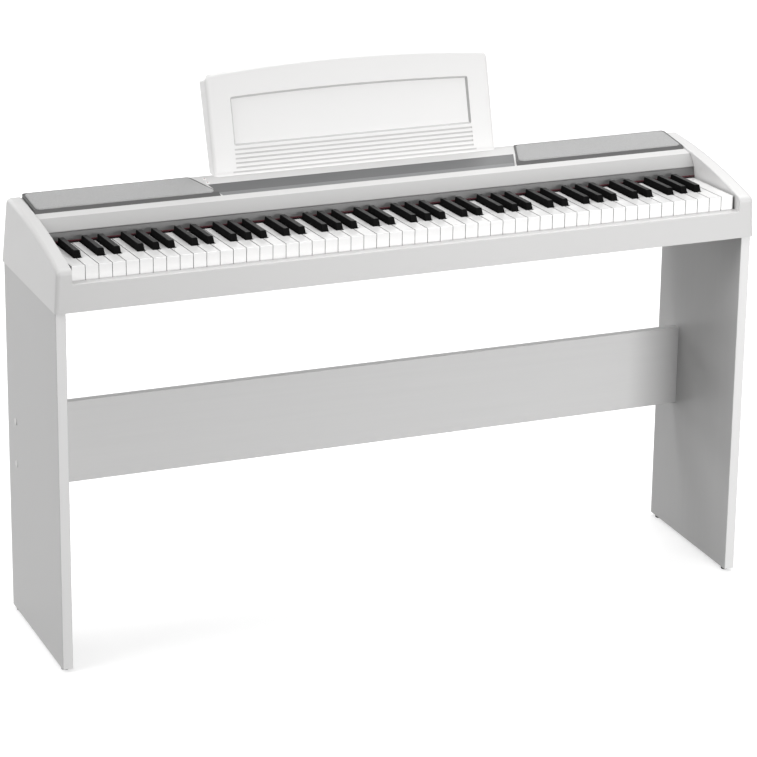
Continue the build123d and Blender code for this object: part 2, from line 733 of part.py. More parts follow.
def white_key(octave, split, slot):
    """A white key: a wide head, a tail in its slot, rounded top edges."""
    head_left = octave_x(octave) + (SPLITS[split][0] + slot // 2) * PITCH
    tail_left, tail_right = slot_span(octave, split, slot)
    if octave == 0 and slot == 4:
        tail_left = head_left
    if octave == 8:
        tail_right = head_left + PITCH
    head_width = PITCH - KEY_GAP
    tail_width = tail_right - tail_left - KEY_GAP
    profile = key_profile(head_left, 0.0)
    with BuildPart() as key:
        with BuildSketch(Plane.XY.offset(KEYTOP - KEY_DEPTH)):
            with Locations((head_left + PITCH / 2, FRONT + NOTCH_Y / 2)):
                Rectangle(head_width, NOTCH_Y)
            with Locations(((tail_left + tail_right) / 2, FRONT + KEY_LENGTH / 2)):
                Rectangle(tail_width, KEY_LENGTH)
        extrude(amount=KEY_DEPTH)
        extrude(profile, amount=PITCH, mode=Mode.INTERSECT)
        top = key.faces().filter_by(lambda f: f.normal_at().Z > 0.99).sort_by(Axis.Z)[-1]
        fillet(top.edges(), KEY_EDGE_R)
    return key.part


def black_key(octave, split, slot):
    """A black key: a low body in its slot and a tapered cap on it."""
    left, right = slot_span(octave, split, slot)
    middle = (left + right) / 2
    profile = key_profile(left, BLACK_FOOT_DROP)
    cap_plane = Plane(
        origin=(middle, FRONT, KEYTOP),
        x_dir=(1, 0, 0),
        z_dir=(0, sin(radians(KEY_SLOPE)), cos(radians(KEY_SLOPE))),
    )
    with BuildPart() as key:
        with BuildSketch(Plane.XY.offset(KEYTOP - KEY_DEPTH)):
            with Locations((middle, FRONT + (BLACK_START + KEY_GAP + KEY_LENGTH) / 2)):
                Rectangle(BLACK_FOOT - KEY_GAP, KEY_LENGTH - BLACK_START - KEY_GAP)
        extrude(amount=KEY_DEPTH)
        extrude(profile, amount=right - left, mode=Mode.INTERSECT)
        with BuildSketch(cap_plane.offset(-BLACK_SKIRT)):
            with Locations((0, (BLACK_START + BLACK_END) / 2)):
                Rectangle(BLACK_FOOT, BLACK_END - BLACK_START)
        with BuildSketch(cap_plane.offset(BLACK_RISE)):
            with Locations((0, (BLACK_START + BLACK_FRONT_RUN + BLACK_END - BLACK_REAR_RUN) / 2)):
                Rectangle(BLACK_TOP, BLACK_END - BLACK_REAR_RUN - BLACK_START - BLACK_FRONT_RUN)
        loft()
        top = key.faces().sort_by(Axis.Z)[-1]
        fillet(top.edges(), BLACK_EDGE_R)
    return key.part


def octave_keys(octave, sharps):
    """All white or all black keys of one octave, as (note, part) pairs."""
    make = black_key if sharps else white_key
    return [
        (note, make(octave, split, slot))
        for note, split, slot in NOTES
        if ("sharp" in note) == sharps
        and (octave > 0 or note in LOWEST_NOTES)
        and (octave < 8 or note == HIGHEST_NOTE)
    ]


def write_bank(parts, name):
    """Write a bank of keys that move as one, still separate solids."""
    with BuildPart() as bank:
        add(parts)
    write(bank.part, name)


for octave in FULL_OCTAVES:
    for sharps, colour in ((False, "white"), (True, "black")):
        keys = octave_keys(octave, sharps)
        if octave == SINGLE_OCTAVE:
            for note, part in keys:
                write(part, f"{note}{octave}_key")
            continue
        if octave == FULL_OCTAVES[0]:
            keys += octave_keys(octave - 1, sharps)
        if octave == FULL_OCTAVES[-1] and not sharps:
            keys += octave_keys(octave + 1, sharps)
        write_bank([part for _, part in keys], f"octave{octave}_{colour}_keys")

# ---- key bed inside the case --------------------------------------------------------------------

with BuildPart() as key_chassis:
    with BuildSketch(side_plane(CHASSIS_END_GAP - WELL_HALF)):
        with BuildLine():
            Polyline(
                yz(CHASSIS_FRONT, CHASSIS_FOOT_Z),
                yz(CHASSIS_FRONT, SHELF_Z),
                yz(CHASSIS_STEP[0], SHELF_Z),
                yz(CHASSIS_STEP[1], CHASSIS_Z),
                yz(CHASSIS_BACK, CHASSIS_Z),
                yz(CHASSIS_BACK, CHASSIS_FOOT_Z),
                yz(CHASSIS_BACK - STEEL, CHASSIS_FOOT_Z),
                yz(CHASSIS_BACK - STEEL, CHASSIS_Z - STEEL),
                yz(CHASSIS_STEP[1] - STEEL, CHASSIS_Z - STEEL),
                yz(CHASSIS_STEP[0] - STEEL, SHELF_Z - STEEL),
                yz(CHASSIS_FRONT + STEEL, SHELF_Z - STEEL),
                yz(CHASSIS_FRONT + STEEL, CHASSIS_FOOT_Z),
                close=True,
            )
        make_face()
    extrude(amount=2 * (WELL_HALF - CHASSIS_END_GAP))

write(key_chassis.part, "key_chassis")

with BuildPart() as key_stop_felt:
    with BuildSketch(Plane.XY.offset(KEYTOP + SHELF_Z)):
        with Locations((0, FRONT + (CHASSIS_FRONT + CHASSIS_STEP[0]) / 2)):
            Rectangle(2 * (WELL_HALF - CHASSIS_END_GAP - STEEL), STOP_FELT_DEPTH)
    extrude(amount=STOP_FELT)

write(key_stop_felt.part, "key_stop_felt")

with BuildPart() as pivot_rail:
    with BuildSketch(side_plane(CHASSIS_END_GAP - WELL_HALF)):
        with Locations(yz(PIVOT_Y, PIVOT_Z)):
            Circle(PIVOT_R)
        with Locations(yz(PIVOT_Y, (PIVOT_Z + CHASSIS_Z) / 2)):
            Rectangle(PIVOT_R, PIVOT_Z - CHASSIS_Z)
        with Locations(yz(PIVOT_Y, CHASSIS_Z + PIVOT_FOOT[1] / 2)):
            Rectangle(*PIVOT_FOOT)
    extrude(amount=2 * (WELL_HALF - CHASSIS_END_GAP))

write(pivot_rail.part, "pivot_rail")

with BuildPart() as contact_board:
    with BuildSketch(Plane.XY.offset(KEYTOP + BOARD_Z)):
        with Locations((0, FRONT + CONTACT_Y)):
            Rectangle(2 * WELL_HALF - 6 * CHASSIS_END_GAP, CONTACT_DEPTH)
    extrude(amount=BOARD_SHEET)
    with BuildSketch(Plane.XY.offset(KEYTOP + BOARD_Z + BOARD_SHEET)):
        with Locations((0, FRONT + CONTACT_Y)):
            with GridLocations(PITCH, DOME_ROW, WHITE_KEYS, 2):
                Circle(DOME_R)
    extrude(amount=DOME_HEIGHT)
    with BuildSketch(Plane.XY.offset(KEYTOP + CHASSIS_Z)):
        with Locations((0, FRONT + CONTACT_Y)):
            with GridLocations(STANDOFF_PITCH, 0.0, 5, 1):
                Rectangle(*STANDOFF_SIZE)
    extrude(amount=BOARD_Z - CHASSIS_Z)

write(contact_board.part, "contact_board")

# ---- bottom board, inserts and screws -----------------------------------------------------------

# Where the stand's knob bolts enter the case, as (x, y) pairs, and the screws that hold the board on.
INSERT_POINTS = [(side * INSERT_X, FRONT + y) for side in (-1, 1) for y in INSERT_YS]
CASE_SCREW_POINTS = [(x, FRONT + y) for x in CASE_SCREW_XS for y in CASE_SCREW_YS]

with BuildPart() as bottom_board:
    with BuildSketch(Plane.XY.offset(KEYTOP + CASE_BOTTOM)):
        with Locations((0, BOTTOM_MIDDLE)):
            Rectangle(BOTTOM_WIDTH - 2 * BOTTOM_GAP, BOTTOM_DEPTH - 2 * BOTTOM_GAP)
        with Locations(INSERT_POINTS):
            Circle(INSERT_R + HOLE_CLEARANCE / 2, mode=Mode.SUBTRACT)
        with Locations(CASE_SCREW_POINTS):
            Circle(CASE_SCREW_R + HOLE_CLEARANCE, mode=Mode.SUBTRACT)
    extrude(amount=BOTTOM_THICK)

write(bottom_board.part, "bottom_board")

with BuildPart() as threaded_inserts:
    with BuildSketch(Plane.XY.offset(KEYTOP + CASE_BOTTOM)):
        with Locations(INSERT_POINTS):
            Circle(INSERT_R)
            Circle(KNOB_BOLT_R + HOLE_CLEARANCE / 2, mode=Mode.SUBTRACT)
    extrude(amount=2 * BOTTOM_THICK)

write(threaded_inserts.part, "threaded_inserts")

with BuildPart() as case_screws:
    with BuildSketch(Plane.XY.offset(KEYTOP + CASE_BOTTOM)):
        with Locations(CASE_SCREW_POINTS):
            Circle(SCREW_HEAD_R)
    extrude(amount=-SCREW_HEAD)
    fillet(case_screws.faces().sort_by(Axis.Z)[: len(CASE_SCREW_POINTS)].edges(), SCREW_HEAD_EDGE_R)
    with BuildSketch(Plane.XY.offset(KEYTOP + CASE_BOTTOM)):
        with Locations(CASE_SCREW_POINTS):
            Circle(CASE_SCREW_R)
    extrude(amount=BOTTOM_THICK + 2.0)
    with BuildSketch(Plane.XY.offset(KEYTOP + CASE_BOTTOM - SCREW_HEAD)):
        with Locations(CASE_SCREW_POINTS):
            Rectangle(*SCREW_CROSS)
            Rectangle(*SCREW_CROSS[::-1])
    extrude(amount=SCREW_CROSS_DEEP, mode=Mode.SUBTRACT)

write(case_screws.part, "case_screws")

# ---- speakers and main board --------------------------------------------------------------------


def speaker_ring(radii, drop, side, inset=0.0):
    """An oval on the speaker's own tilted plane, `drop` below the deck's underside."""
    base = tilted(side * SPEAKER_X, SPEAKER_Y, deck_z(SPEAKER_Y) - WALL - SPEAKER_GAP, DECK_ANGLE)
    with BuildSketch(base.offset(-drop)) as ring:
        Ellipse(radii[0] - inset, radii[1] - inset)
    return ring.sketch


def speaker_driver(side):
    """Steel basket with its rim under the deck, and the magnet behind it."""
    wide = (SPEAKER_MOUTH[0] + 2.0, SPEAKER_MOUTH[1] + 2.0)
    outside = [
        speaker_ring(wide, SPEAKER_SHEET, side),
        speaker_ring(BASKET_WAIST, BASKET_DEPTH, side),
    ]
    inside = [
        speaker_ring(wide, 0.0, side, SPEAKER_SHEET),
        speaker_ring(BASKET_WAIST, BASKET_DEPTH - 1.0, side, SPEAKER_SHEET),
    ]
    rim = speaker_ring(SPEAKER_RIM, 0.0, side)
    mouth = speaker_ring(SPEAKER_MOUTH, 0.0, side)
    magnet = speaker_ring((MAGNET_R, MAGNET_R), BASKET_DEPTH, side)
    with BuildPart() as driver:
        loft(outside)
        extrude(rim, amount=-SPEAKER_SHEET)
        extrude(mouth, amount=-2 * SPEAKER_SHEET, mode=Mode.SUBTRACT)
        loft(inside, mode=Mode.SUBTRACT)
        extrude(magnet, amount=-MAGNET_DEPTH)
    return driver.part


def speaker_cone(side):
    """Thin paper cone inside the basket."""
    front = SPEAKER_GAP + 2 * SPEAKER_SHEET
    depth = 0.6 * BASKET_DEPTH
    outside = [speaker_ring(SPEAKER_CONE, front, side), speaker_ring(CONE_THROAT, front + depth, side)]
    inside = [
        speaker_ring(SPEAKER_CONE, front, side, PAPER),
        speaker_ring(CONE_THROAT, front + depth - PAPER, side, PAPER),
    ]
    with BuildPart() as cone:
        loft(outside)
        loft(inside, mode=Mode.SUBTRACT)
    return cone.part


for side, name in ((-1, "left"), (1, "right")):
    write(speaker_driver(side), f"{name}_speaker")
write_bank([speaker_cone(side) for side in (-1, 1)], "speaker_cones")

with BuildPart() as main_board:
    with BuildSketch(Plane.XY.offset(KEYTOP + BOARD_Z)):
        with Locations((0, FRONT + MAIN_BOARD_Y)):
            Rectangle(*MAIN_BOARD_SIZE)
    extrude(amount=BOARD_SHEET)
    with BuildSketch(Plane.XY.offset(KEYTOP + BOARD_Z + BOARD_SHEET)):
        with Locations((0, FRONT + MAIN_BOARD_Y)):
            with GridLocations(CHIP_PITCH, 0.0, 3, 1):
                Rectangle(CHIP_SIZE, CHIP_SIZE)
    extrude(amount=CHIP_HEIGHT)
    with BuildSketch(Plane.XY.offset(KEYTOP + BOARD_Z + BOARD_SHEET)):
        with Locations((0, FRONT + MAIN_BOARD_Y)):
            with GridLocations(CAN_PITCH, CAN_PITCH, 6, 2):
                Circle(CAN_R)
    extrude(amount=CAN_HEIGHT)
    with BuildSketch(Plane.XY.offset(KEYTOP + CASE_BOTTOM + BOTTOM_THICK)):
        with Locations((0, FRONT + MAIN_BOARD_Y)):
            with GridLocations(MAIN_BOARD_SIZE[0] - 2 * CAN_R, MAIN_BOARD_SIZE[1] - 2 * CAN_R, 2, 2):
                Circle(POST_R)
    extrude(amount=BOARD_Z - CASE_BOTTOM - BOTTOM_THICK)

write(main_board.part, "main_board")

# ---- jacks in the rear wall ---------------------------------------------------------------------

JACK_OFFSETS = [(index * JACK_PITCH, 0) for index in range(-1, 2)]
jack_locations = [(x + JACK_SHIFT, y) for x, y in JACK_OFFSETS]
rear_face = rear_plane(JACK_PANEL_X, JACK_PANEL_Z)

with BuildPart() as jack_panel:
    with BuildSketch(rear_face.offset(-JACK_PANEL_SUNK)):
        Rectangle(*JACK_PANEL_SIZE)
        offset(amount=-JACK_PANEL_GAP, mode=Mode.REPLACE)
        fillet(vertices(), JACK_PANEL_R)
    extrude(amount=-JACK_PANEL_THICK)
    with BuildSketch(rear_face.offset(-WALL - JACK_PANEL_GAP / 3)):
        Rectangle(*JACK_PANEL_SIZE)
        offset(amount=JACK_PANEL_LIP, kind=Kind.INTERSECTION, mode=Mode.REPLACE)
        fillet(vertices(), JACK_PANEL_R)
    extrude(amount=-JACK_PANEL_THICK)
    with BuildSketch(rear_face):
        with Locations(jack_locations):
            Circle(JACK_BARREL_R + HOLE_CLEARANCE / 2)
        with Locations((INLET_X_OFFSET, 0)):
            Circle(INLET_R + HOLE_CLEARANCE / 2)
    extrude(amount=-3 * WALL, mode=Mode.SUBTRACT)

write(jack_panel.part, "jack_panel")

with BuildPart() as phone_jacks:
    with BuildSketch(rear_face.offset(-JACK_PANEL_SUNK)):
        with Locations(jack_locations):
            Circle(JACK_BARREL_R)
    extrude(amount=-JACK_BORE_DEEP - 2.0)
    with BuildSketch(rear_face.offset(-JACK_PANEL_SUNK)):
        with Locations(jack_locations):
            RegularPolygon(JACK_BARREL_R + 2.0, 6)
    extrude(amount=JACK_COLLAR)
    with BuildSketch(rear_face.offset(-JACK_PANEL_SUNK + JACK_COLLAR)):
        with Locations(jack_locations):
            Circle(JACK_BORE_R)
    extrude(amount=-JACK_BORE_DEEP, mode=Mode.SUBTRACT)

write(phone_jacks.part, "phone_jacks")

with BuildPart() as dc_inlet:
    with BuildSketch(rear_face.offset(INLET_PROUD - JACK_PANEL_SUNK)):
        with Locations((INLET_X_OFFSET, 0)):
            Circle(INLET_R)
            Circle(INLET_BORE_R, mode=Mode.SUBTRACT)
    extrude(amount=-INLET_DEEP)
    with BuildSketch(rear_face.offset(1.0 - JACK_PANEL_SUNK - INLET_DEEP)):
        with Locations((INLET_X_OFFSET, 0)):
            Rectangle(2 * INLET_R, 2 * INLET_R)
    extrude(amount=-INLET_BLOCK)
    with BuildSketch(rear_face.offset(1.0 - JACK_PANEL_SUNK - INLET_DEEP)):
        with Locations((INLET_X_OFFSET, 0)):
            Circle(INLET_PIN_R)
    extrude(amount=INLET_PIN)

write(dc_inlet.part, "dc_inlet")

# ---- buttons ------------------------------------------------------------------------------------

for name, y in BUTTON_YS:
    top = tilted(BUTTON_X, y, island_z(y) + BUTTON_PROUD, ISLAND_ANGLE)
    reach = BUTTON_PROUD + island_z(y) - (deck_z(y) - WALL) + BUTTON_SLACK
    with BuildPart() as button:
        with BuildSketch(top):
            Circle(BUTTON_R)
        extrude(amount=-reach)
        fillet(button.faces().sort_by(Axis.Z)[-1].edges(), BUTTON_PROUD / 2)
        with BuildSketch(top.offset(-reach)):
            Circle(BUTTON_R + BUTTON_FLANGE)
        extrude(amount=-BUTTON_FLANGE)
    write(button.part, name)

# ---- music rest ---------------------------------------------------------------------------------


def rest_face(x, off_back):
    """Plane of the rest's front face, moved back by `off_back`: own x is +X, own y is up the face."""
    side = rest_plane(x)
    return Plane(origin=side.origin + side.x_dir * off_back, x_dir=(1, 0, 0), z_dir=-side.x_dir)


def rest_outline(off_back, inset):
    """Front outline of the rest: straight sides, arched top, rounded top corners, foot left long."""
    half = REST_WIDTH / 2 - inset
    foot = -REST_FOOT_DEPTH
    with BuildSketch(rest_face(0.0, off_back)) as outline:
        with BuildLine():
            sides = Polyline(
                (-half, REST_SHOULDER - inset), (-half, foot), (half, foot), (half, REST_SHOULDER - inset)
            )
            ThreePointArc(sides @ 1, (0, REST_CROWN - inset), sides @ 0)
        make_face()
        tops = outline.vertices().sort_by(Axis.Y)[-2:]
        fillet(tops, REST_CORNER_R - min(inset, REST_SKIN))
    return outline.sketch


def rest_wedge(x, length, skin):
    """Solid between the rest's front face and its steeper back, drawn in by `skin`."""
    rest_top = REST_CROWN + 4 * REST_SKIN
    slope = (REST_HEAD_DEPTH - REST_FOOT_DEPTH) / REST_CROWN
    with BuildPart() as wedge:
        with BuildSketch(rest_plane(x)):
            with BuildLine():
                Polyline(
                    (skin, -REST_FOOT_DEPTH), (REST_FOOT_DEPTH - skin, -REST_FOOT_DEPTH),
                    (REST_FOOT_DEPTH - skin, 0),
                    (REST_FOOT_DEPTH - skin + slope * rest_top, rest_top), (skin, rest_top),
                    close=True,
                )
            make_face()
        extrude(amount=length)
    return wedge.part


wedge_body = rest_wedge(-REST_WIDTH, 2 * REST_WIDTH, 0.0)
rest_tongue = tongue(TONGUE_HALF, 0.0)
seat_plane = tilted(0.0, REST_Y, island_z(REST_Y) + REST_SEAT_GAP, ISLAND_ANGLE)

with BuildPart() as rest_hollow:
    extrude(rest_outline(RECESS_DEPTH + REST_SKIN, REST_SKIN), amount=-REST_HEAD_DEPTH - 2 * WALL)
    split(bisect_by=seat_plane.offset(REST_SKIN), keep=Keep.TOP)

with BuildPart() as music_rest:
    extrude(rest_outline(0.0, 0.0), amount=-REST_HEAD_DEPTH - 2 * WALL)
    add(wedge_body, mode=Mode.INTERSECT)
    split(bisect_by=seat_plane, keep=Keep.TOP)
    front_face = music_rest.faces().filter_by(lambda f: f.normal_at().dot(rest_plane().x_dir) < -0.99)[0]
    seat = front_face.edges().sort_by(Axis.Z)[0]
    fillet([edge for edge in front_face.edges() if edge != seat], REST_EDGE_R)
    with BuildSketch(rest_face(0.0, 0.0)) as recess:
        with BuildLine():
            sides = Polyline(
                (-RECESS_HALF, RECESS_HIGH), (-RECESS_HALF, RECESS_LOW),
                (RECESS_HALF, RECESS_LOW), (RECESS_HALF, RECESS_HIGH),
            )
            ThreePointArc(sides @ 1, (0, RECESS_CROWN), sides @ 0)
        make_face()
        fillet(recess.vertices(), RECESS_R)
    extrude(amount=-RECESS_DEPTH, taper=RECESS_DRAFT, mode=Mode.SUBTRACT)
    with BuildSketch(rest_face(0.0, 0.0)):
        for index in range(GROOVES):
            with Locations((0, GROOVE_FIRST + index * GROOVE_STEP)):
                Rectangle(2 * RECESS_HALF, GROOVE_WIDTH)
        with Locations((0, GROOVE_FIRST - GROOVE_STEP)):
            Rectangle(REST_WIDTH, GROOVE_WIDTH)
    extrude(amount=-GROOVE_DEPTH, mode=Mode.SUBTRACT)
    add(rest_hollow.part, mode=Mode.SUBTRACT)
    add(rest_tongue)

write(music_rest.part, "music_rest")

back_skin = rest_wedge(-REST_WIDTH, 2 * REST_WIDTH, REST_SKIN)
with BuildPart() as music_rest_back:
    extrude(rest_outline(REST_SKIN, REST_SKIN + BACK_CLEARANCE), amount=-REST_HEAD_DEPTH - 2 * WALL)
    add(wedge_body, mode=Mode.INTERSECT)
    add(back_skin, mode=Mode.SUBTRACT)
    split(bisect_by=seat_plane.offset(REST_SKIN + BACK_CLEARANCE), keep=Keep.TOP)

write(music_rest_back.part, "music_rest_back")

# ---- stand --------------------------------------------------------------------------------------

BOLT_POINTS = [(FRONT + BOLT_Y, KEYTOP + z) for z in BOLT_ZS]
FOOT_YS = (LEG_FRONT + FOOT_INSET, LEG_FRONT + LEG_DEPTH - FOOT_INSET)
BRACKET_SCREW_YS = [CASE_BRACKET_Y + step * BRACKET_SCREW_STEP for step in (-1, 1)]


def leg_panel(side):
    """Side panel of the stand, bored for the board's bolts, the bracket's screws and the glides."""
    inner = side * LEG_INNER if side > 0 else -LEG_OUTER
    outer_plane = side_plane(side * LEG_OUTER)
    inner_plane = side_plane(side * LEG_INNER)
    with BuildPart() as panel:
        with BuildSketch(side_plane(inner)):
            with Locations(yz(LEG_FRONT + LEG_DEPTH / 2, (LEG_BOTTOM + CASE_BOTTOM) / 2)):
                Rectangle(LEG_DEPTH, CASE_BOTTOM - LEG_BOTTOM)
        extrude(amount=LEG_THICK)
        chamfer(panel.edges().filter_by(Axis.Z), PANEL_CHAMFER)
        with BuildSketch(outer_plane):
            with Locations(BOLT_POINTS):
                Circle(BOLT_R + HOLE_CLEARANCE)
        extrude(amount=-side * LEG_THICK, mode=Mode.SUBTRACT)
        with BuildSketch(outer_plane):
            with Locations(BOLT_POINTS):
                Circle(CAP_R + HOLE_CLEARANCE / 2)
        extrude(amount=-side * BOLT_SINK, mode=Mode.SUBTRACT)
        with BuildSketch(inner_plane):
            with Locations([yz(y, BRACKET_SCREW_Z) for y in BRACKET_SCREW_YS]):
                Circle(CASE_SCREW_R + HOLE_CLEARANCE)
        extrude(amount=side * PILOT_DEEP, mode=Mode.SUBTRACT)
        with BuildSketch(Plane.XY.offset(FOOT_HEIGHT)):
            with Locations([(side * (LEG_OUTER - LEG_THICK / 2), FRONT + y) for y in FOOT_YS]):
                Circle(FOOT_STEM_R + HOLE_CLEARANCE / 2)
        extrude(amount=FOOT_STEM + 1.0, mode=Mode.SUBTRACT)
    return panel.part


for side, name in ((-1, "left"), (1, "right")):
    write(leg_panel(side), f"{name}_leg_panel")

BOARD_SCREW_POINTS = [
    (side * (LEG_INNER - BRACKET_LEAF / 2 - 2 * STEEL), KEYTOP + z) for side in (-1, 1) for z in BOLT_ZS
]

with BuildPart() as back_board:
    with BuildSketch(side_plane(-LEG_INNER)):
        with Locations(yz(BOARD_FRONT + BOARD_THICK / 2, BOARD_BOTTOM + BOARD_HEIGHT / 2)):
            Rectangle(BOARD_THICK, BOARD_HEIGHT)
    extrude(amount=2 * LEG_INNER)
    chamfer(back_board.edges().filter_by(Axis.X), PANEL_CHAMFER)
    with BuildSketch(Plane.XZ.offset(-FRONT - BOARD_FRONT - BOARD_THICK)):
        with Locations(BOARD_SCREW_POINTS):
            Circle(CASE_SCREW_R + HOLE_CLEARANCE)
    extrude(amount=PILOT_DEEP, mode=Mode.SUBTRACT)

write(back_board.part, "back_board")

BOARD_REAR = BOARD_FRONT + BOARD_THICK
BRACKET_MID_Z = sum(BOLT_ZS) / 2


def board_bracket(side):
    """Steel angle in the corner behind the board: one leaf on the leg, one on the board."""
    start = LEG_INNER - STEEL if side > 0 else -LEG_INNER
    leaf_start = LEG_INNER - BRACKET_LEAF if side > 0 else -LEG_INNER
    with BuildPart() as bracket:
        with BuildSketch(side_plane(start)):
            with Locations(yz(BOARD_REAR + BRACKET_LEAF / 2, BRACKET_MID_Z)):
                Rectangle(BRACKET_LEAF, BRACKET_HEIGHT)
        extrude(amount=STEEL)
        with BuildSketch(side_plane(leaf_start)):
            with Locations(yz(BOARD_REAR + STEEL / 2, BRACKET_MID_Z)):
                Rectangle(STEEL, BRACKET_HEIGHT)
        extrude(amount=BRACKET_LEAF)
        with BuildSketch(side_plane(start)):
            with Locations(BOLT_POINTS):
                Circle(BOLT_R + HOLE_CLEARANCE)
        extrude(amount=STEEL, mode=Mode.SUBTRACT)
        with BuildSketch(Plane.XZ.offset(-FRONT - BOARD_REAR)):
            with Locations(BOARD_SCREW_POINTS):
                Circle(CASE_SCREW_R + HOLE_CLEARANCE)
        extrude(amount=-STEEL, mode=Mode.SUBTRACT)
    return bracket.part


def case_bracket(side):
    """Steel angle under the case: one leaf on the leg's inside, one under the bottom board."""
    start = LEG_INNER - STEEL if side > 0 else -LEG_INNER
    leaf_start = LEG_INNER - CASE_LEAF if side > 0 else -LEG_INNER
    with BuildPart() as bracket:
        with BuildSketch(side_plane(start)):
            with Locations(yz(CASE_BRACKET_Y, CASE_BOTTOM - CASE_LEAF / 2)):
                Rectangle(CASE_BRACKET_LENGTH, CASE_LEAF)
        extrude(amount=STEEL)
        with BuildSketch(side_plane(leaf_start)):
            with Locations(yz(CASE_BRACKET_Y, CASE_BOTTOM - STEEL / 2)):
                Rectangle(CASE_BRACKET_LENGTH, STEEL)
        extrude(amount=CASE_LEAF)
        with BuildSketch(side_plane(start)):
            with Locations([yz(y, BRACKET_SCREW_Z) for y in BRACKET_SCREW_YS]):
                Circle(CASE_SCREW_R + HOLE_CLEARANCE)
        extrude(amount=STEEL, mode=Mode.SUBTRACT)
        with BuildSketch(Plane.XY.offset(KEYTOP + CASE_BOTTOM)):
            with Locations(INSERT_POINTS):
                Circle(KNOB_BOLT_R + HOLE_CLEARANCE)
        extrude(amount=-STEEL, mode=Mode.SUBTRACT)
    return bracket.part


write_bank([board_bracket(side) for side in (-1, 1)], "board_brackets")
write_bank([case_bracket(side) for side in (-1, 1)], "case_brackets")


def board_bolt(side, point):
    """Bolt through a leg panel with its nut behind the bracket."""
    head_plane = side_plane(side * (LEG_OUTER - BOLT_SINK))
    nut_plane = side_plane(side * (LEG_INNER - STEEL))
    with BuildPart() as bolt:
        with BuildSketch(head_plane):
            with Locations(point):
                Circle(BOLT_R)
        extrude(amount=-side * (LEG_THICK - BOLT_SINK + STEEL + BOLT_TAIL))
        with BuildSketch(head_plane):
            with Locations(point):
                Circle(BOLT_HEAD_R)
        extrude(amount=side * BOLT_HEAD)
        with BuildSketch(nut_plane):
            with Locations(point):
                RegularPolygon(BOLT_HEAD_R, 6)
        extrude(amount=-side * NUT_HEIGHT)
    return bolt.part


def bolt_cap(side, point):
    """Round plastic plug that closes a bolt hole in the leg's outer face."""
    with BuildPart() as cap:
        with BuildSketch(side_plane(side * (LEG_OUTER - BOLT_SINK + BOLT_HEAD))):
            with Locations(point):
                Circle(CAP_R)
        extrude(amount=side * (BOLT_SINK - BOLT_HEAD + CAP_PROUD))
        face = cap.faces().sort_by(Axis.X)[-1 if side > 0 else 0]
        fillet(face.edges(), CAP_EDGE_R)
    return cap.part


def wood_screw(plane):
    """Pan-head screw into a pilot hole: the plane lies on the clamped face, normal out."""
    along = Axis(plane.origin, plane.z_dir)
    with BuildPart() as screw:
        with BuildSketch(plane):
            Circle(SCREW_HEAD_R)
        extrude(amount=SCREW_HEAD)
        fillet(screw.faces().sort_by(along)[-1].edges(), SCREW_HEAD_EDGE_R)
        with BuildSketch(plane):
            Circle(CASE_SCREW_R)
        extrude(amount=-SCREW_REACH)
        with BuildSketch(plane.offset(SCREW_HEAD)):
            Rectangle(*SCREW_CROSS)
            Rectangle(*SCREW_CROSS[::-1])
        extrude(amount=-SCREW_CROSS_DEEP, mode=Mode.SUBTRACT)
    return screw.part


def knob_bolt(point):
    """Finger-tightened bolt with a fluted plastic head, from below into the case."""
    with BuildPart() as knob:
        with BuildSketch(Plane.XY.offset(KEYTOP + CASE_BOTTOM - STEEL)):
            with Locations(point):
                Circle(KNOB_R)
                with PolarLocations(KNOB_R + KNOB_FLUTE_R / 2, KNOB_FLUTES):
                    Circle(KNOB_FLUTE_R, mode=Mode.SUBTRACT)
        extrude(amount=-KNOB_HEIGHT)
        with BuildSketch(Plane.XY.offset(KEYTOP + CASE_BOTTOM - STEEL)):
            with Locations(point):
                Circle(KNOB_BOLT_R)
        extrude(amount=STEEL + BOTTOM_THICK + INSERT_R)
    return knob.part


def foot(side, y):
    """Plastic glide with a stem in the leg's lower edge."""
    with BuildPart() as glide:
        with BuildSketch(Plane.XY):
            with Locations((side * (LEG_OUTER - LEG_THICK / 2), FRONT + y)):
                Circle(FOOT_R)
        extrude(amount=FOOT_HEIGHT)
        fillet(glide.faces().sort_by(Axis.Z)[0].edges(), FOOT_EDGE_R)
        with BuildSketch(Plane.XY.offset(FOOT_HEIGHT)):
            with Locations((side * (LEG_OUTER - LEG_THICK / 2), FRONT + y)):
                Circle(FOOT_STEM_R)
        extrude(amount=FOOT_STEM)
    return glide.part


write_bank([board_bolt(side, point) for side in (-1, 1) for point in BOLT_POINTS], "board_bolts")
write_bank([bolt_cap(side, point) for side in (-1, 1) for point in BOLT_POINTS], "bolt_caps")
write_bank([knob_bolt(point) for point in INSERT_POINTS], "knob_bolts")
write_bank([foot(side, y) for side in (-1, 1) for y in FOOT_YS], "feet")

board_screw_planes = [
    Plane(origin=(x, FRONT + BOARD_REAR + STEEL, z), x_dir=(1, 0, 0), z_dir=(0, 1, 0))
    for x, z in BOARD_SCREW_POINTS
]
leg_screw_planes = [
    Plane(
        origin=(side * (LEG_INNER - STEEL), *yz(y, BRACKET_SCREW_Z)),
        x_dir=(0, 1, 0),
        z_dir=(-side, 0, 0),
    )
    for side in (-1, 1)
    for y in BRACKET_SCREW_YS
]
write_bank([wood_screw(plane) for plane in board_screw_planes + leg_screw_planes], "bracket_screws")
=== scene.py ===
import json
import math

import bmesh
import bpy
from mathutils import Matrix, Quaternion, Vector


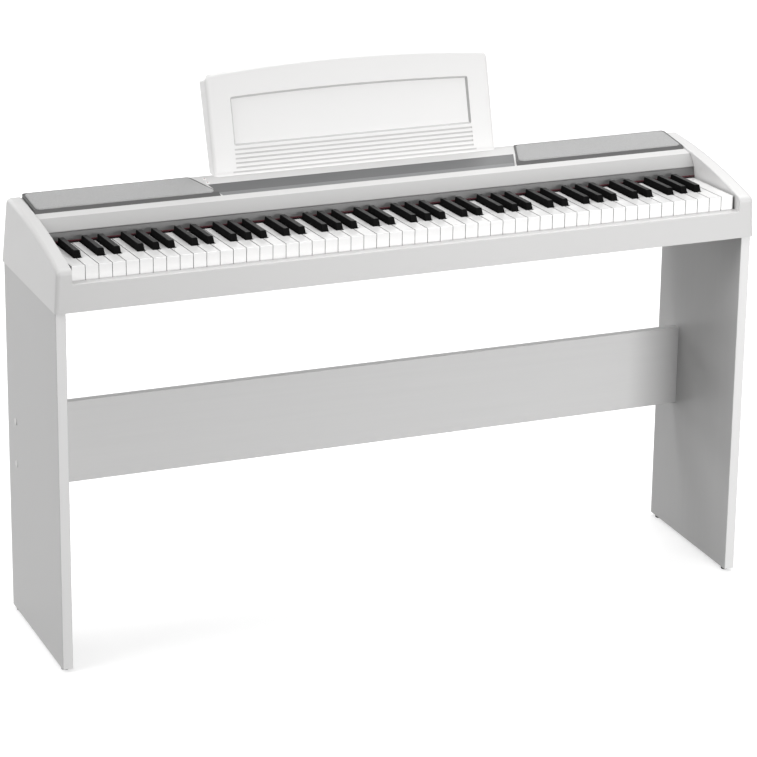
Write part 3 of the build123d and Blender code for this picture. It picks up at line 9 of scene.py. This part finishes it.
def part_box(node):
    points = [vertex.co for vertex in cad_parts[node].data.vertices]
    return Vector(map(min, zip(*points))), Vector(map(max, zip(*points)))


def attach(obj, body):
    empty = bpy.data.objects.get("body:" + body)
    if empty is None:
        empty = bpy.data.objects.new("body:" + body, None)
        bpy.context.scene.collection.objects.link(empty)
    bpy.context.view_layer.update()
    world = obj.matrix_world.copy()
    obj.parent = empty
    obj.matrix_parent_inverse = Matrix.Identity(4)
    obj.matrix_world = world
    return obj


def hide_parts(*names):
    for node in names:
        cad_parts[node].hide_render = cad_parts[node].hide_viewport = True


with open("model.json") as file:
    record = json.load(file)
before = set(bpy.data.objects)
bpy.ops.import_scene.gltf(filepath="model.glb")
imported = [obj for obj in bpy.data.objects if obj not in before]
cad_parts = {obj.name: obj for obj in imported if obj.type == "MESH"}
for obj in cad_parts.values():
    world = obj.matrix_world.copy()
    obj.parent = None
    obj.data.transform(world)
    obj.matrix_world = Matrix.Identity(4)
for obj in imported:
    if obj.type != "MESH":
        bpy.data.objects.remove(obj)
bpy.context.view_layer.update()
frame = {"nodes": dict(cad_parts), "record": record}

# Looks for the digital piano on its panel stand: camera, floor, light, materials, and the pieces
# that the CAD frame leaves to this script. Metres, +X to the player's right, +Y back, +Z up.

scene = bpy.context.scene
nodes = frame["nodes"]
MM = 0.001

# ---- camera -------------------------------------------------------------------------------------

VIEW_YAW = math.radians(22.27)      # the lens looks back and to the player's right
VIEW_PITCH = math.radians(19.55)
VIEW_ROLL = math.radians(0.72)
VIEW_PLACE = Vector((-2.101, -5.1414, 2.3683))
LENS = 157.1                # focal length and sensor width in millimetres
SENSOR = 36.0
FARTHEST = 100.0            # nothing beyond this distance is drawn


def make_camera():
    data = bpy.data.cameras.new("camera")
    camera = bpy.data.objects.new("camera", data)
    scene.collection.objects.link(camera)
    look = Vector((
        math.sin(VIEW_YAW) * math.cos(VIEW_PITCH),
        math.cos(VIEW_YAW) * math.cos(VIEW_PITCH),
        -math.sin(VIEW_PITCH),
    ))
    data.lens = LENS
    data.sensor_width = SENSOR
    data.clip_end = FARTHEST
    camera.location = VIEW_PLACE
    camera.rotation_mode = "QUATERNION"
    camera.rotation_quaternion = look.to_track_quat("-Z", "Y") @ Quaternion((0, 0, 1), VIEW_ROLL)
    scene.camera = camera


make_camera()

# ---- materials ----------------------------------------------------------------------------------


STRIP_SKIRT = 14.6 * MM     # height of the skirt under the lip of the strip behind the keys
PANEL_FRONT = 12 * MM       # depth of the dark panel in front of its fold
GROOVE_SHADE = (0.4 * MM, 4.2 * MM)     # depths behind the music rest's face that look shaded
REST_BORDER = 30 * MM       # plain border of the music rest above its recess
REST_FIELD = 232 * MM       # half width of its recess and grooves
THREAD_PITCH = 1.1 * MM     # of the speaker cloth
SCREEN_PITCH = 2.0 * MM     # of the pattern pressed into hardboard
GRAIN_SCALE = 1400.0        # cells per metre of the spark-eroded grain
GRAIN_DEPTH = 0.04 * MM
WAVES_PER_METRE = 3.183     # ridges in a metre of the wave texture at scale 1


class Look:
    """One procedural material: a Principled shader, and nodes for its colour, gloss and relief."""

    def __init__(self, name, **sockets):
        self.material = bpy.data.materials.new(name)
        self.material.use_nodes = True
        self.tree = self.material.node_tree
        self.shader = self.tree.nodes["Principled BSDF"]
        for socket, value in sockets.items():
            self.shader.inputs[socket.replace("_", " ")].default_value = value
        self.place = self.add("ShaderNodeTexCoord").outputs["Object"]
        self.relief = None

    def add(self, kind, **settings):
        node = self.tree.nodes.new(kind)
        for key, value in settings.items():
            setattr(node, key, value)
        return node

    def join(self, source, target):
        self.tree.links.new(source, target)

    def stretched(self, scale):
        """The place in metres times a scale for each axis, so that a grain can run along one."""
        node = self.add("ShaderNodeMapping")
        node.inputs["Scale"].default_value = scale
        self.join(self.place, node.inputs["Vector"])
        return node.outputs["Vector"]

    def noise(self, scale, detail=2.0, rough=0.5, vector=None):
        node = self.add("ShaderNodeTexNoise")
        node.inputs["Scale"].default_value = scale
        node.inputs["Detail"].default_value = detail
        node.inputs["Roughness"].default_value = rough
        self.join(vector or self.place, node.inputs["Vector"])
        return node.outputs["Fac"]

    def waves(self, direction, pitch):
        """Smooth ridges that follow each other along an axis, one every pitch metres."""
        node = self.add("ShaderNodeTexWave", bands_direction=direction)
        node.inputs["Scale"].default_value = 1 / pitch / WAVES_PER_METRE
        node.inputs["Distortion"].default_value = 0.0
        self.join(self.place, node.inputs["Vector"])
        return node.outputs["Fac"]

    def axes(self, vector=None):
        """The three parts of a vector, by name; of the place in metres if none is given."""
        node = self.add("ShaderNodeSeparateXYZ")
        self.join(vector or self.place, node.inputs[0])
        return node.outputs

    def maths(self, operation, first, second):
        node = self.add("ShaderNodeMath", operation=operation)
        for slot, value in enumerate((first, second)):
            if isinstance(value, float):
                node.inputs[slot].default_value = value
            else:
                self.join(value, node.inputs[slot])
        return node.outputs[0]

    def span(self, fac, low, high, at=(0.0, 1.0)):
        """The factor between at[0] and at[1], respread from low to high."""
        node = self.add("ShaderNodeMapRange")
        for slot, value in zip(("From Min", "From Max", "To Min", "To Max"), (*at, low, high)):
            node.inputs[slot].default_value = value
        self.join(fac, node.inputs["Value"])
        return node.outputs["Result"]

    def mix(self, fac, first, second):
        node = self.add("ShaderNodeMix", data_type="RGBA")
        if isinstance(fac, float):
            node.inputs["Factor"].default_value = fac
        else:
            self.join(fac, node.inputs["Factor"])
        for slot, value in (("A", first), ("B", second)):
            target = [s for s in node.inputs if s.name == slot and s.type == "RGBA"][0]
            if isinstance(value, tuple):
                target.default_value = (*value, 1.0)
            else:
                self.join(value, target)
        return [s for s in node.outputs if s.type == "RGBA"][0]

    def facing(self, axis, least):
        """1 where the surface faces along an axis of the part, either way, and 0 elsewhere."""
        normal = self.axes(self.add("ShaderNodeTexCoord").outputs["Normal"])
        return self.maths("GREATER_THAN", self.maths("ABSOLUTE", normal[axis], 0.0), least)

    def colour(self, source):
        self.join(source, self.shader.inputs["Base Color"])

    def gloss(self, source):
        self.join(source, self.shader.inputs["Roughness"])

    def bump(self, height, depth, strength):
        """Relief of that depth in metres, on top of any relief made before."""
        node = self.add("ShaderNodeBump")
        node.inputs["Strength"].default_value = strength
        node.inputs["Distance"].default_value = depth
        self.join(height, node.inputs["Height"])
        if self.relief:
            self.join(self.relief, node.inputs["Normal"])
        self.relief = node.outputs["Normal"]
        self.join(self.relief, self.shader.inputs["Normal"])

    def satin(self, rough, grain=GRAIN_DEPTH):
        """The slightly uneven gloss and the fine grain of moulded plastic."""
        self.gloss(self.span(self.noise(40.0, 3.0), rough - 0.05, rough + 0.05))
        self.bump(self.noise(GRAIN_SCALE, 2.0), grain, 0.35)


def tint(grey, warm=0.0):
    """A near-neutral colour: warm above 0 leans to cream, below 0 to blue."""
    return (grey * (1 + warm), grey, grey * (1 - warm))


def flow_marks(look, grey, warm, spread=0.02):
    """The slow drift in shade that a plastic is left with when it is moulded."""
    drift = look.noise(3.0, 4.0, 0.6)
    return look.mix(drift, tint(grey * (1 - spread), warm), tint(grey * (1 + spread), warm))


def moulded_plastic(name, grey, warm, rough, grain=GRAIN_DEPTH, spread=0.02):
    """Moulded plastic with a spark-eroded grain, faint flow marks and a slightly uneven gloss."""
    look = Look(name)
    shade = flow_marks(look, grey, warm, spread)
    speck = look.noise(900.0, 1.0)
    look.colour(look.mix(look.span(speck, 0.0, 0.10), shade, tint(grey * 0.9, warm)))
    look.satin(rough, grain)
    look.bump(look.noise(25.0, 2.0), grain, 0.25)
    return look.material


def strip_with_skirt_shade(name, grey, skirt_shade_grey, warm, rough):
    """The strip behind the keys: satin plastic, with painted shade on the skirt below its lip."""
    look = Look(name)
    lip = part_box("fallboard")[0].z + STRIP_SKIRT
    face = look.maths("GREATER_THAN", look.axes()["Z"], lip)
    upper = flow_marks(look, grey, warm)
    # painted shade: the skirt under the lip takes a much darker grey, for the lip's shadow
    shaded_skirt = flow_marks(look, skirt_shade_grey, warm, 0.03)
    look.colour(look.mix(face, shaded_skirt, upper))
    look.satin(rough)
    return look.material


def rest_plastic_with_groove_shade(name, grey, groove_shade_grey, wall_shade_grey, warm, rough):
    """The music rest's plastic: a little darker in its grooves and recess walls, as painted shade.
    """
    look = Look(name)
    rest = nodes["music_rest"].data.vertices
    joints = frame["record"]["behaviour"]["joints"]
    up = Vector(next(joint["axis"] for joint in joints if joint["name"] == "music_rest_lift"))
    back = Vector((0.0, up.z, -up.y))
    face = min(back.dot(v.co) for v in rest)
    top = max(v.co.z for v in rest)
    place = look.axes()
    dot = look.add("ShaderNodeVectorMath", operation="DOT_PRODUCT")
    look.join(look.place, dot.inputs[0])
    dot.inputs[1].default_value = back
    depth = dot.outputs["Value"]
    # painted shade: points sunk a little behind the face, inside the grooved field, are darker
    inner = (
        look.maths("GREATER_THAN", depth, face + GROOVE_SHADE[0]),
        look.maths("LESS_THAN", depth, face + GROOVE_SHADE[1]),
        look.maths("LESS_THAN", place["Z"], top - REST_BORDER),
        look.maths("LESS_THAN", look.maths("ABSOLUTE", place["X"], 0.0), REST_FIELD),
    )
    sunk = inner[0]
    for test in inner[1:]:
        sunk = look.maths("MULTIPLY", sunk, test)
    normal = look.axes(look.add("ShaderNodeTexCoord").outputs["Normal"])
    # painted shade: the recess wall that faces left is darker still
    leftward = look.maths("LESS_THAN", normal["X"], -0.5)
    groove = look.mix(leftward, tint(groove_shade_grey, warm), tint(wall_shade_grey, warm))
    look.colour(look.mix(sunk, flow_marks(look, grey, warm), groove))
    look.satin(rough)
    return look.material


def key_plastic(name, grey, warm, rough, spread, side, top_only=False, **sockets):
    """Polished keytop plastic: its shade differs a little from key to key; its sides get painted
    shade.
    """
    look = Look(name, **sockets)
    island = look.add("ShaderNodeNewGeometry").outputs["Random Per Island"]
    shade = look.mix(island, tint(grey * (1 - spread), warm), tint(grey * (1 + spread), warm))
    worn = look.mix(look.span(look.noise(90.0, 3.0), 0.0, 0.12), shade, tint(grey * 0.97, warm))
    # painted shade on the sides, in the gaps between keys; on black keys on all but the top,
    # so the lighter top stands as a painted highlight
    if top_only:
        painted_shade_mask = look.maths("SUBTRACT", 1.0, look.facing("Z", 0.95))
    else:
        painted_shade_mask = look.facing("X", 0.5)
    look.colour(look.mix(painted_shade_mask, worn, tint(grey * side, warm)))
    smear = look.noise(1.0, 4.0, 0.6, look.stretched((120.0, 22.0, 60.0)))
    polish = look.span(smear, rough - 0.05, rough + 0.07)
    look.gloss(look.maths("MAXIMUM", polish, look.maths("MULTIPLY", look.facing("X", 0.6), 0.85)))
    look.bump(look.noise(60.0, 1.0), 0.00003, 0.3)
    return look.material


def brushed_panel(name, grey, rough):
    """Dark panel with a fine brushed grain along it; painted light in front of its fold, shade
    behind.
    """
    look = Look(name, Specular_IOR_Level=0.4)
    grain = look.noise(1.0, 3.0, 0.7, look.stretched((14.0, 2600.0, 2600.0)))
    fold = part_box("center_panel")[0].y + PANEL_FRONT
    behind = look.maths("GREATER_THAN", look.axes()["Y"], fold)
    # painted light on the slope in front of the fold, painted shade on the slope behind it
    front = look.mix(grain, tint(grey * 1.2, -0.015), tint(grey * 1.5, -0.015))
    back = look.mix(grain, tint(grey * 0.75, -0.015), tint(grey * 0.9, -0.015))
    look.colour(look.mix(behind, front, back))
    look.gloss(look.span(grain, rough - 0.07, rough + 0.09))
    look.bump(grain, 0.00003, 0.4)
    return look.material


def woven_cloth(name, grey, pitch):
    """Speaker cloth: two sets of threads over and under each other, with flecks in the yarn."""
    look = Look(name, Roughness=0.85, Sheen_Weight=0.25, Sheen_Roughness=0.5)
    weave = look.maths("MULTIPLY", look.waves("X", pitch), look.waves("Y", pitch))
    fleck = look.noise(520.0, 2.0, 0.7)
    cloud = look.noise(14.0, 3.0)
    yarn = look.mix(look.span(fleck, 0.0, 1.0, (0.35, 0.65)), tint(grey * 0.86), tint(grey * 1.12))
    look.colour(look.mix(look.span(cloud, 0.0, 0.25), yarn, tint(grey * 0.9)))
    look.gloss(look.span(fleck, 0.75, 0.95))
    look.bump(weave, 0.00035, 0.7)
    look.bump(fleck, 0.00012, 0.5)
    return look.material


def felt(name, dark, light):
    """Pressed felt with matted fibres."""
    look = Look(name, Sheen_Weight=0.2, Sheen_Roughness=0.6)
    fibres = look.noise(1.0, 4.0, 0.7, look.stretched((500.0, 1400.0, 900.0)))
    look.colour(look.mix(look.span(fibres, 0.0, 1.0, (0.3, 0.7)), dark, light))
    look.gloss(look.span(fibres, 0.85, 1.0))
    look.bump(fibres, 0.0004, 0.8)
    return look.material


def laminate(name, grey, long_axis, edge_axis, edge_light_shade_grey):
    """White foil on particle board: a very soft grain along the board, painted light and shade on
    its edges.
    """
    look = Look(name, Specular_IOR_Level=0.45)
    scale = [90.0, 90.0, 90.0]
    scale["XYZ".index(long_axis)] = 3.0
    grain = look.noise(1.0, 5.0, 0.6, look.stretched(scale))
    pores = look.noise(6.0, 2.0, 0.7, look.stretched([s * 4.0 for s in scale]))
    shade = look.mix(grain, tint(grey * 0.965, 0.004), tint(grey * 1.03, 0.004))
    foil = look.mix(look.span(pores, 0.0, 0.10, (0.55, 0.8)), shade, tint(grey * 0.85))
    band = look.mix(grain, tint(edge_light_shade_grey * 0.98, 0.004), tint(edge_light_shade_grey * 1.02, 0.004))
    # back board's top and bottom edges
    # painted edges: a painted highlight on the legs' front and rear edges, painted shade on the
    look.colour(look.mix(look.facing(edge_axis, 0.9), foil, band))
    look.gloss(look.span(grain, 0.36, 0.50))
    look.bump(pores, 0.00006, 0.35)
    look.bump(look.noise(1000.0, 1.0), 0.00003, 0.3)
    return look.material


def hardboard(name, grey):
    """Painted hardboard with the pressed screen pattern of its back face."""
    look = Look(name)
    screen = look.maths("MULTIPLY", look.waves("X", SCREEN_PITCH), look.waves("Y", SCREEN_PITCH))
    mottle = look.noise(30.0, 4.0, 0.6)
    look.colour(look.mix(mottle, tint(grey * 0.92, 0.01), tint(grey * 1.06, 0.01)))
    look.gloss(look.span(mottle, 0.6, 0.8))
    look.bump(screen, 0.0002, 0.4)
    return look.material


def plated_metal(name, colour, rough):
    """Plated metal with a cloudy spangle and fine scratches."""
    look = Look(name, Metallic=1.0)
    spangle = look.add("ShaderNodeTexVoronoi")
    spangle.inputs["Scale"].default_value = 160.0
    look.join(look.place, spangle.inputs["Vector"])
    cloud = look.noise(60.0, 4.0, 0.6)
    dark = tuple(c * 0.8 for c in colour)
    look.colour(look.mix(look.maths("MULTIPLY", spangle.outputs["Distance"], cloud), colour, dark))
    look.gloss(look.span(cloud, rough - 0.1, rough + 0.12))
    look.bump(look.noise(1.0, 2.0, 0.6, look.stretched((2000.0, 60.0, 2000.0))), 0.00002, 0.3)
    return look.material


def circuit_board(name):
    """Green solder mask over tracks that show as a faint grid of raised lines."""
    look = Look(name, Coat_Weight=0.6, Coat_Roughness=0.2)
    bricks = look.add("ShaderNodeTexBrick")
    bricks.inputs["Scale"].default_value = 120.0
    bricks.inputs["Mortar Size"].default_value = 0.03
    bricks.inputs["Color1"].default_value = (0.02, 0.13, 0.05, 1)
    bricks.inputs["Color2"].default_value = (0.03, 0.17, 0.07, 1)
    bricks.inputs["Mortar"].default_value = (0.08, 0.26, 0.12, 1)
    look.join(look.place, bricks.inputs["Vector"])
    look.colour(bricks.outputs["Color"])
    look.gloss(look.span(look.noise(200.0, 2.0), 0.3, 0.5))
    look.bump(bricks.outputs["Fac"], 0.00005, 0.5)
    return look.material


def lens(name):
    """Deep red moulded lens of an indicator lamp."""
    look = Look(name, Transmission_Weight=0.25, Coat_Weight=1.0, Coat_Roughness=0.05)
    look.colour(look.mix(look.noise(700.0, 2.0), (0.32, 0.012, 0.02), (0.5, 0.03, 0.04)))
    look.gloss(look.span(look.noise(300.0, 2.0), 0.12, 0.25))
    return look.material


SLOTS = {
    "case_white": moulded_plastic("case_white", 0.66, 0.006, 0.40),
    # white keys: sides painted at 0.28 of the grey, a painted shade in the gaps
    "white_key": key_plastic("white_key", 0.89, 0.004, 0.17, 0.006, 0.28,
                             Coat_Weight=0.3, Coat_Roughness=0.08),
    # black keys: all but the tops painted at 0.08 of the grey; the lighter tops are a painted
    # highlight
    "black_key": key_plastic("black_key", 0.035, 0.0, 0.30, 0.12, 0.08, top_only=True, IOR=1.15),
    "dark_trim": moulded_plastic("dark_trim", 0.10, 0.004, 0.45, spread=0.05),
    "dark_panel": brushed_panel("dark_panel", 0.15, 0.38),
    "grille_cloth": woven_cloth("grille_cloth", 0.38, THREAD_PITCH),
    "red_felt": felt("red_felt", (0.05, 0.001, 0.005), (0.11, 0.004, 0.014)),
    "grey_felt": felt("grey_felt", (0.22, 0.22, 0.21), (0.36, 0.36, 0.35)),
    # stand legs: painted highlight on front and rear edges, 0.80 against 0.53 on the faces
    "stand_laminate": laminate("stand_laminate", 0.53, "Z", "Y", 0.80),
    "bottom_panel": hardboard("bottom_panel", 0.48),
    "sheet_steel": plated_metal("sheet_steel", (0.55, 0.56, 0.57), 0.42),
    "zinc_steel": plated_metal("zinc_steel", (0.66, 0.66, 0.64), 0.34),
    "insert_brass": plated_metal("insert_brass", (0.72, 0.52, 0.24), 0.3),
    "black_plastic": moulded_plastic("black_plastic", 0.028, 0.0, 0.46, spread=0.1),
    "foot_plastic": moulded_plastic("foot_plastic", 0.022, 0.0, 0.55, spread=0.1),
    "circuit_board": circuit_board("circuit_board"),
    "speaker_paper": moulded_plastic("speaker_paper", 0.04, 0.0, 0.8, 0.2 * MM, 0.15),
    "button_white": moulded_plastic("button_white", 0.85, 0.004, 0.25),
}
# back board: the legs' laminate in a lighter copy (0.72 against 0.53), painted light;
# its top and bottom edges painted darker, as shade
LIGHTER_BOARD_LAMINATE = laminate("stand_laminate_lighter_copy", 0.72, "X", "Z", 0.62)
REST_WHITE = rest_plastic_with_groove_shade("rest_white", 0.79, 0.60, 0.40, 0.006, 0.38)
STRIP_GREY = strip_with_skirt_shade("strip_grey", 0.46, 0.17, 0.006, 0.40)


def slot_of(node):
    return nodes[node].data.materials[0].name.split(".")[0]


def paint_frame():
    """Every CAD node takes the material of its slot, or one of the three variants above."""
    special = {
        "back_board": LIGHTER_BOARD_LAMINATE,
        "music_rest": REST_WHITE,
        "music_rest_back": REST_WHITE,
        "fallboard": STRIP_GREY,
    }
    for name, node in nodes.items():
        finish = special.get(name) or SLOTS[slot_of(name)]
        for index in range(len(node.data.materials)):
            node.data.materials[index] = finish


paint_frame()

# ---- pieces made here ---------------------------------------------------------------------------


def add_piece(name, mesh_builder, body, slot):
    """A new mesh piece that rides on a body and takes its finish from a slot."""
    shape = bmesh.new()
    mesh_builder(shape)
    bmesh.ops.recalc_face_normals(shape, faces=shape.faces)
    mesh = bpy.data.meshes.new(name)
    shape.to_mesh(mesh)
    shape.free()
    for face in mesh.polygons:
        face.use_smooth = True
    piece = bpy.data.objects.new(name, mesh)
    scene.collection.objects.link(piece)
    mesh.materials.append(SLOTS[slot])
    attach(piece, body)
    return piece


# The speaker cloth is pulled over a board that lies on the dark grille frame. Its outline is read
# off the CAD board, and rings drawn in from that outline carry it over the board's soft edge.

CLOTH_THICK = 0.5 * MM
CLOTH_RINGS = ((0.0, -2.4), (0.0, -1.0), (0.35, -0.35), (1.0, 0.0), (1.9, 0.05))   # inset, rise
CLOTH_STEP = 6 * MM         # longest side of its outline
BOARD_FRONT = 3 * MM        # the board's highest point this near its front gives its front height
STRAIGHT = 1e-9             # a corner that turns less than this isn't a corner


def turn(first, middle, last):
    """Above 0 where the way from first to last bends left at the middle."""
    return (
        (middle[0] - first[0]) * (last[1] - first[1])
        - (middle[1] - first[1]) * (last[0] - first[0])
    )


def plan_outline(name):
    """Corner points of a convex CAD piece seen from above, in order round it."""
    points = sorted({(round(v.co.x, 6), round(v.co.y, 6)) for v in nodes[name].data.vertices})

    def half(run):
        chain = []
        for x, y in run:
            while len(chain) > 1 and turn(chain[-2], chain[-1], (x, y)) <= STRAIGHT:
                chain.pop()
            chain.append((x, y))
        return chain[:-1]

    return half(points) + half(points[::-1])


def even_steps(outline, step):
    """The same closed outline with no side longer than step."""
    result = []
    for start, end in zip(outline, outline[1:] + outline[:1]):
        count = max(1, math.ceil(math.dist(start, end) / step))
        for index in range(count):
            share = index / count
            result.append(tuple(a + (b - a) * share for a, b in zip(start, end)))
    return result


def drawn_in(outline, inset):
    """A closed convex outline moved inwards, each point along the mean of its sides' normals."""
    result = []
    count = len(outline)
    for index, (x, y) in enumerate(outline):
        before, after = outline[index - 1], outline[(index + 1) % count]
        along = Vector((after[0] - before[0], after[1] - before[1])).normalized()
        result.append((x - along.y * inset, y + along.x * inset))
    return result


def top_height(name):
    """Height of a CAD piece's sloping top as a function of Y."""
    low_corner, high_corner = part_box(name)
    rim = [v.co for v in nodes[name].data.vertices]
    front = max(p.z for p in rim if p.y < low_corner.y + BOARD_FRONT)
    back = high_corner.z
    run = high_corner.y - low_corner.y
    return lambda y: front + (back - front) * (y - low_corner.y) / run


def stretched_cloth(name):
    outline = even_steps(plan_outline(name), CLOTH_STEP)
    height = top_height(name)

    def build(shape):
        rings = []
        for inset, rise in CLOTH_RINGS:
            lift = rise * MM - CLOTH_THICK
            ring = drawn_in(outline, inset * MM)
            rings.append([shape.verts.new((x, y, height(y) + lift)) for x, y in ring])
        for outer, inner in zip(rings, rings[1:]):
            for index in range(len(outer)):
                after = (index + 1) % len(outer)
                shape.faces.new((outer[index], outer[after], inner[after], inner[index]))
        cap = shape.faces.new(rings[-1])
        bmesh.ops.triangulate(shape, faces=[cap])

    side = name.split("_")[0]
    cloth = add_piece(f"{side}_speaker_cloth", build, "piano", "grille_cloth")
    shell = cloth.modifiers.new("thickness", "SOLIDIFY")
    shell.thickness = CLOTH_THICK
    shell.offset = 1.0
    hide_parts(name)


for cloth_board in ("left_grille_cloth", "right_grille_cloth"):
    stretched_cloth(cloth_board)

# ---- felt strips --------------------------------------------------------------------------------

FELT_STEP = 12 * MM         # between one section of a strip and the next
FELT_WAVER = 0.03           # share by which a strip's section grows and shrinks along it
CORNER_PARTS = 3            # sides of each of a section's rounded corners


def waver(index):
    """A slow, uneven wave from 0 to 1 over a strip's sections."""
    return (1 + math.sin(index * 1.7) * math.sin(index * 0.61)) / 2


def felt_strip(name, new_name, slot, edge):
    """A long soft strip in a CAD strip's place, with rounded edges and a slightly uneven face."""
    low_corner, high_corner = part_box(name)
    span = high_corner - low_corner
    count = math.ceil(span.x / FELT_STEP)
    middle = (low_corner + high_corner) / 2
    profile = []
    for corner, (sign_y, sign_z) in enumerate(((1, 1), (-1, 1), (-1, -1), (1, -1))):
        for part in range(CORNER_PARTS + 1):
            angle = math.radians(90 * (corner + part / CORNER_PARTS))
            profile.append((
                sign_y * (span.y / 2 - edge) + edge * math.cos(angle),
                sign_z * (span.z / 2 - edge) + edge * math.sin(angle),
            ))

    def build(shape):
        rings = []
        for index in range(count + 1):
            x = low_corner.x + span.x * index / count
            size = 1 - FELT_WAVER * waver(index)
            rings.append([
                shape.verts.new((x, middle.y + y * size, middle.z + z * size)) for y, z in profile
            ])
        for before, after in zip(rings, rings[1:]):
            for index in range(len(profile)):
                other = (index + 1) % len(profile)
                shape.faces.new((before[index], before[other], after[other], after[index]))
        for end in (rings[0], rings[-1]):
            shape.faces.new(end)

    strip = add_piece(new_name, build, "piano", slot)
    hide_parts(name)


felt_strip("key_felt", "red_felt_strip", "red_felt", 0.7 * MM)
felt_strip("key_stop_felt", "stop_felt_strip", "grey_felt", 1.2 * MM)

# ---- indicator lenses ---------------------------------------------------------------------------

LAMP_R = 1.3 * MM
LAMP_RISE = 0.7 * MM
LAMP_SUNK = 0.4 * MM        # part of the dome that is let into the button
LAMP_SIDES = 20
LAMP_ROWS = 5
LAMP_RED = lens("lamp_red")


def indicator(button):
    """A small domed red lens let into the top of a button."""
    low_corner, high_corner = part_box(button)
    middle = (low_corner + high_corner) / 2
    base = high_corner.z - LAMP_SUNK

    def build(shape):
        rings = []
        for row in range(LAMP_ROWS):
            angle = math.radians(90 * row / LAMP_ROWS)
            radius, rise = LAMP_R * math.cos(angle), LAMP_RISE * math.sin(angle)
            rings.append([
                shape.verts.new((
                    middle.x + radius * math.cos(math.tau * side / LAMP_SIDES),
                    middle.y + radius * math.sin(math.tau * side / LAMP_SIDES),
                    base + rise,
                ))
                for side in range(LAMP_SIDES)
            ])
        peak = shape.verts.new((middle.x, middle.y, base + LAMP_RISE))
        for before, after in zip(rings, rings[1:]):
            for side in range(LAMP_SIDES):
                other = (side + 1) % LAMP_SIDES
                shape.faces.new((before[side], before[other], after[other], after[side]))
        for side in range(LAMP_SIDES):
            shape.faces.new((rings[-1][side], rings[-1][(side + 1) % LAMP_SIDES], peak))
        shape.faces.new(rings[0][::-1])

    lamp = add_piece(button.replace("button", "lamp"), build, button, "button_white")
    lamp.data.materials[0] = LAMP_RED


for button in ("power_button", "song_button"):
    indicator(button)

# ---- floor and light ----------------------------------------------------------------------------

FLOOR_HALF = 30.0
FLOOR_GREYS = (0.60, 0.62)
SKY_ABOVE = 0.70        # light from straight up in the studio, as a share of full white
SKY_BELOW = 0.08
SKY_FADE = (-0.2, 0.7)      # heights on the sky's ball between which one turns into the other
FLOOR_GLOW = 0.55       # the floor's own light, which keeps it pale far from the lamps


def make_floor():
    shape = bmesh.new()
    bmesh.ops.create_grid(shape, x_segments=4, y_segments=4, size=FLOOR_HALF)
    mesh = bpy.data.meshes.new("floor")
    shape.to_mesh(mesh)
    shape.free()
    floor = bpy.data.objects.new("floor", mesh)
    scene.collection.objects.link(floor)
    look = Look("floor_paint", Roughness=0.9, Specular_IOR_Level=0.0, Emission_Strength=FLOOR_GLOW)
    look.shader.inputs["Emission Color"].default_value = (1.0, 1.0, 1.0, 1.0)
    look.colour(look.mix(look.noise(0.6, 3.0), *(tint(grey) for grey in FLOOR_GREYS)))
    mesh.materials.append(look.material)
    floor.visible_diffuse = False


def aimed(light, place, aim):
    scene.collection.objects.link(light)
    light.location = place
    light.rotation_mode = "QUATERNION"
    light.rotation_quaternion = (Vector(aim) - Vector(place)).to_track_quat("-Z", "Y")


def soft_sun(name, azimuth, elevation, spread, strength):
    """Even light from far away: azimuth 0 comes from the front and 90 from the player's right."""
    data = bpy.data.lights.new(name, "SUN")
    data.angle = math.radians(spread)
    data.energy = strength
    turn, rise = math.radians(azimuth), math.radians(elevation)
    place = (math.sin(turn) * math.cos(rise), -math.cos(turn) * math.cos(rise), math.sin(rise))
    aimed(bpy.data.objects.new(name, data), place, (0.0, 0.0, 0.0))


def soft_box(name, place, aim, size, power):
    data = bpy.data.lights.new(name, "AREA")
    data.shape = "RECTANGLE"
    data.size, data.size_y = size
    data.energy = power
    aimed(bpy.data.objects.new(name, data), place, aim)


def make_sky():
    """White all round, but less light from below the horizon, where the room would be darker."""
    world = bpy.data.worlds.new("studio")
    scene.world = world
    world.use_nodes = True
    tree = world.node_tree
    place = tree.nodes.new("ShaderNodeTexCoord")
    split = tree.nodes.new("ShaderNodeSeparateXYZ")
    fade = tree.nodes.new("ShaderNodeMapRange")
    ray = tree.nodes.new("ShaderNodeLightPath")
    pick = tree.nodes.new("ShaderNodeMix")
    tree.links.new(place.outputs["Generated"], split.inputs[0])
    tree.links.new(split.outputs["Z"], fade.inputs["Value"])
    spread = (*SKY_FADE, SKY_BELOW, SKY_ABOVE)
    for slot, value in zip(("From Min", "From Max", "To Min", "To Max"), spread):
        fade.inputs[slot].default_value = value
    tree.links.new(ray.outputs["Is Camera Ray"], pick.inputs["Factor"])
    tree.links.new(fade.outputs["Result"], pick.inputs["A"])
    pick.inputs["B"].default_value = 1.0
    tree.links.new(pick.outputs["Result"], tree.nodes["Background"].inputs["Strength"])
    tree.nodes["Background"].inputs["Color"].default_value = (1.0, 1.0, 1.0, 1.0)


def make_light():
    soft_sun("left", -88.0, 34.0, 40.0, 1.35)
    soft_box("overhead", (1.2, 0.9, 2.8), (0.3, 0.0, 0.7), (1.6, 1.2), 29.0)
    soft_box("back", (-1.0, 3.6, 1.2), (0.0, 0.1, 0.5), (2.0, 1.4), 34.0)
    soft_box("front_right", (1.2, -3.3, 0.9), (0.0, -0.1, 0.45), (1.6, 1.2), 74.0)
    make_sky()
    scene.view_settings.view_transform = "Standard"


make_floor()
make_light()
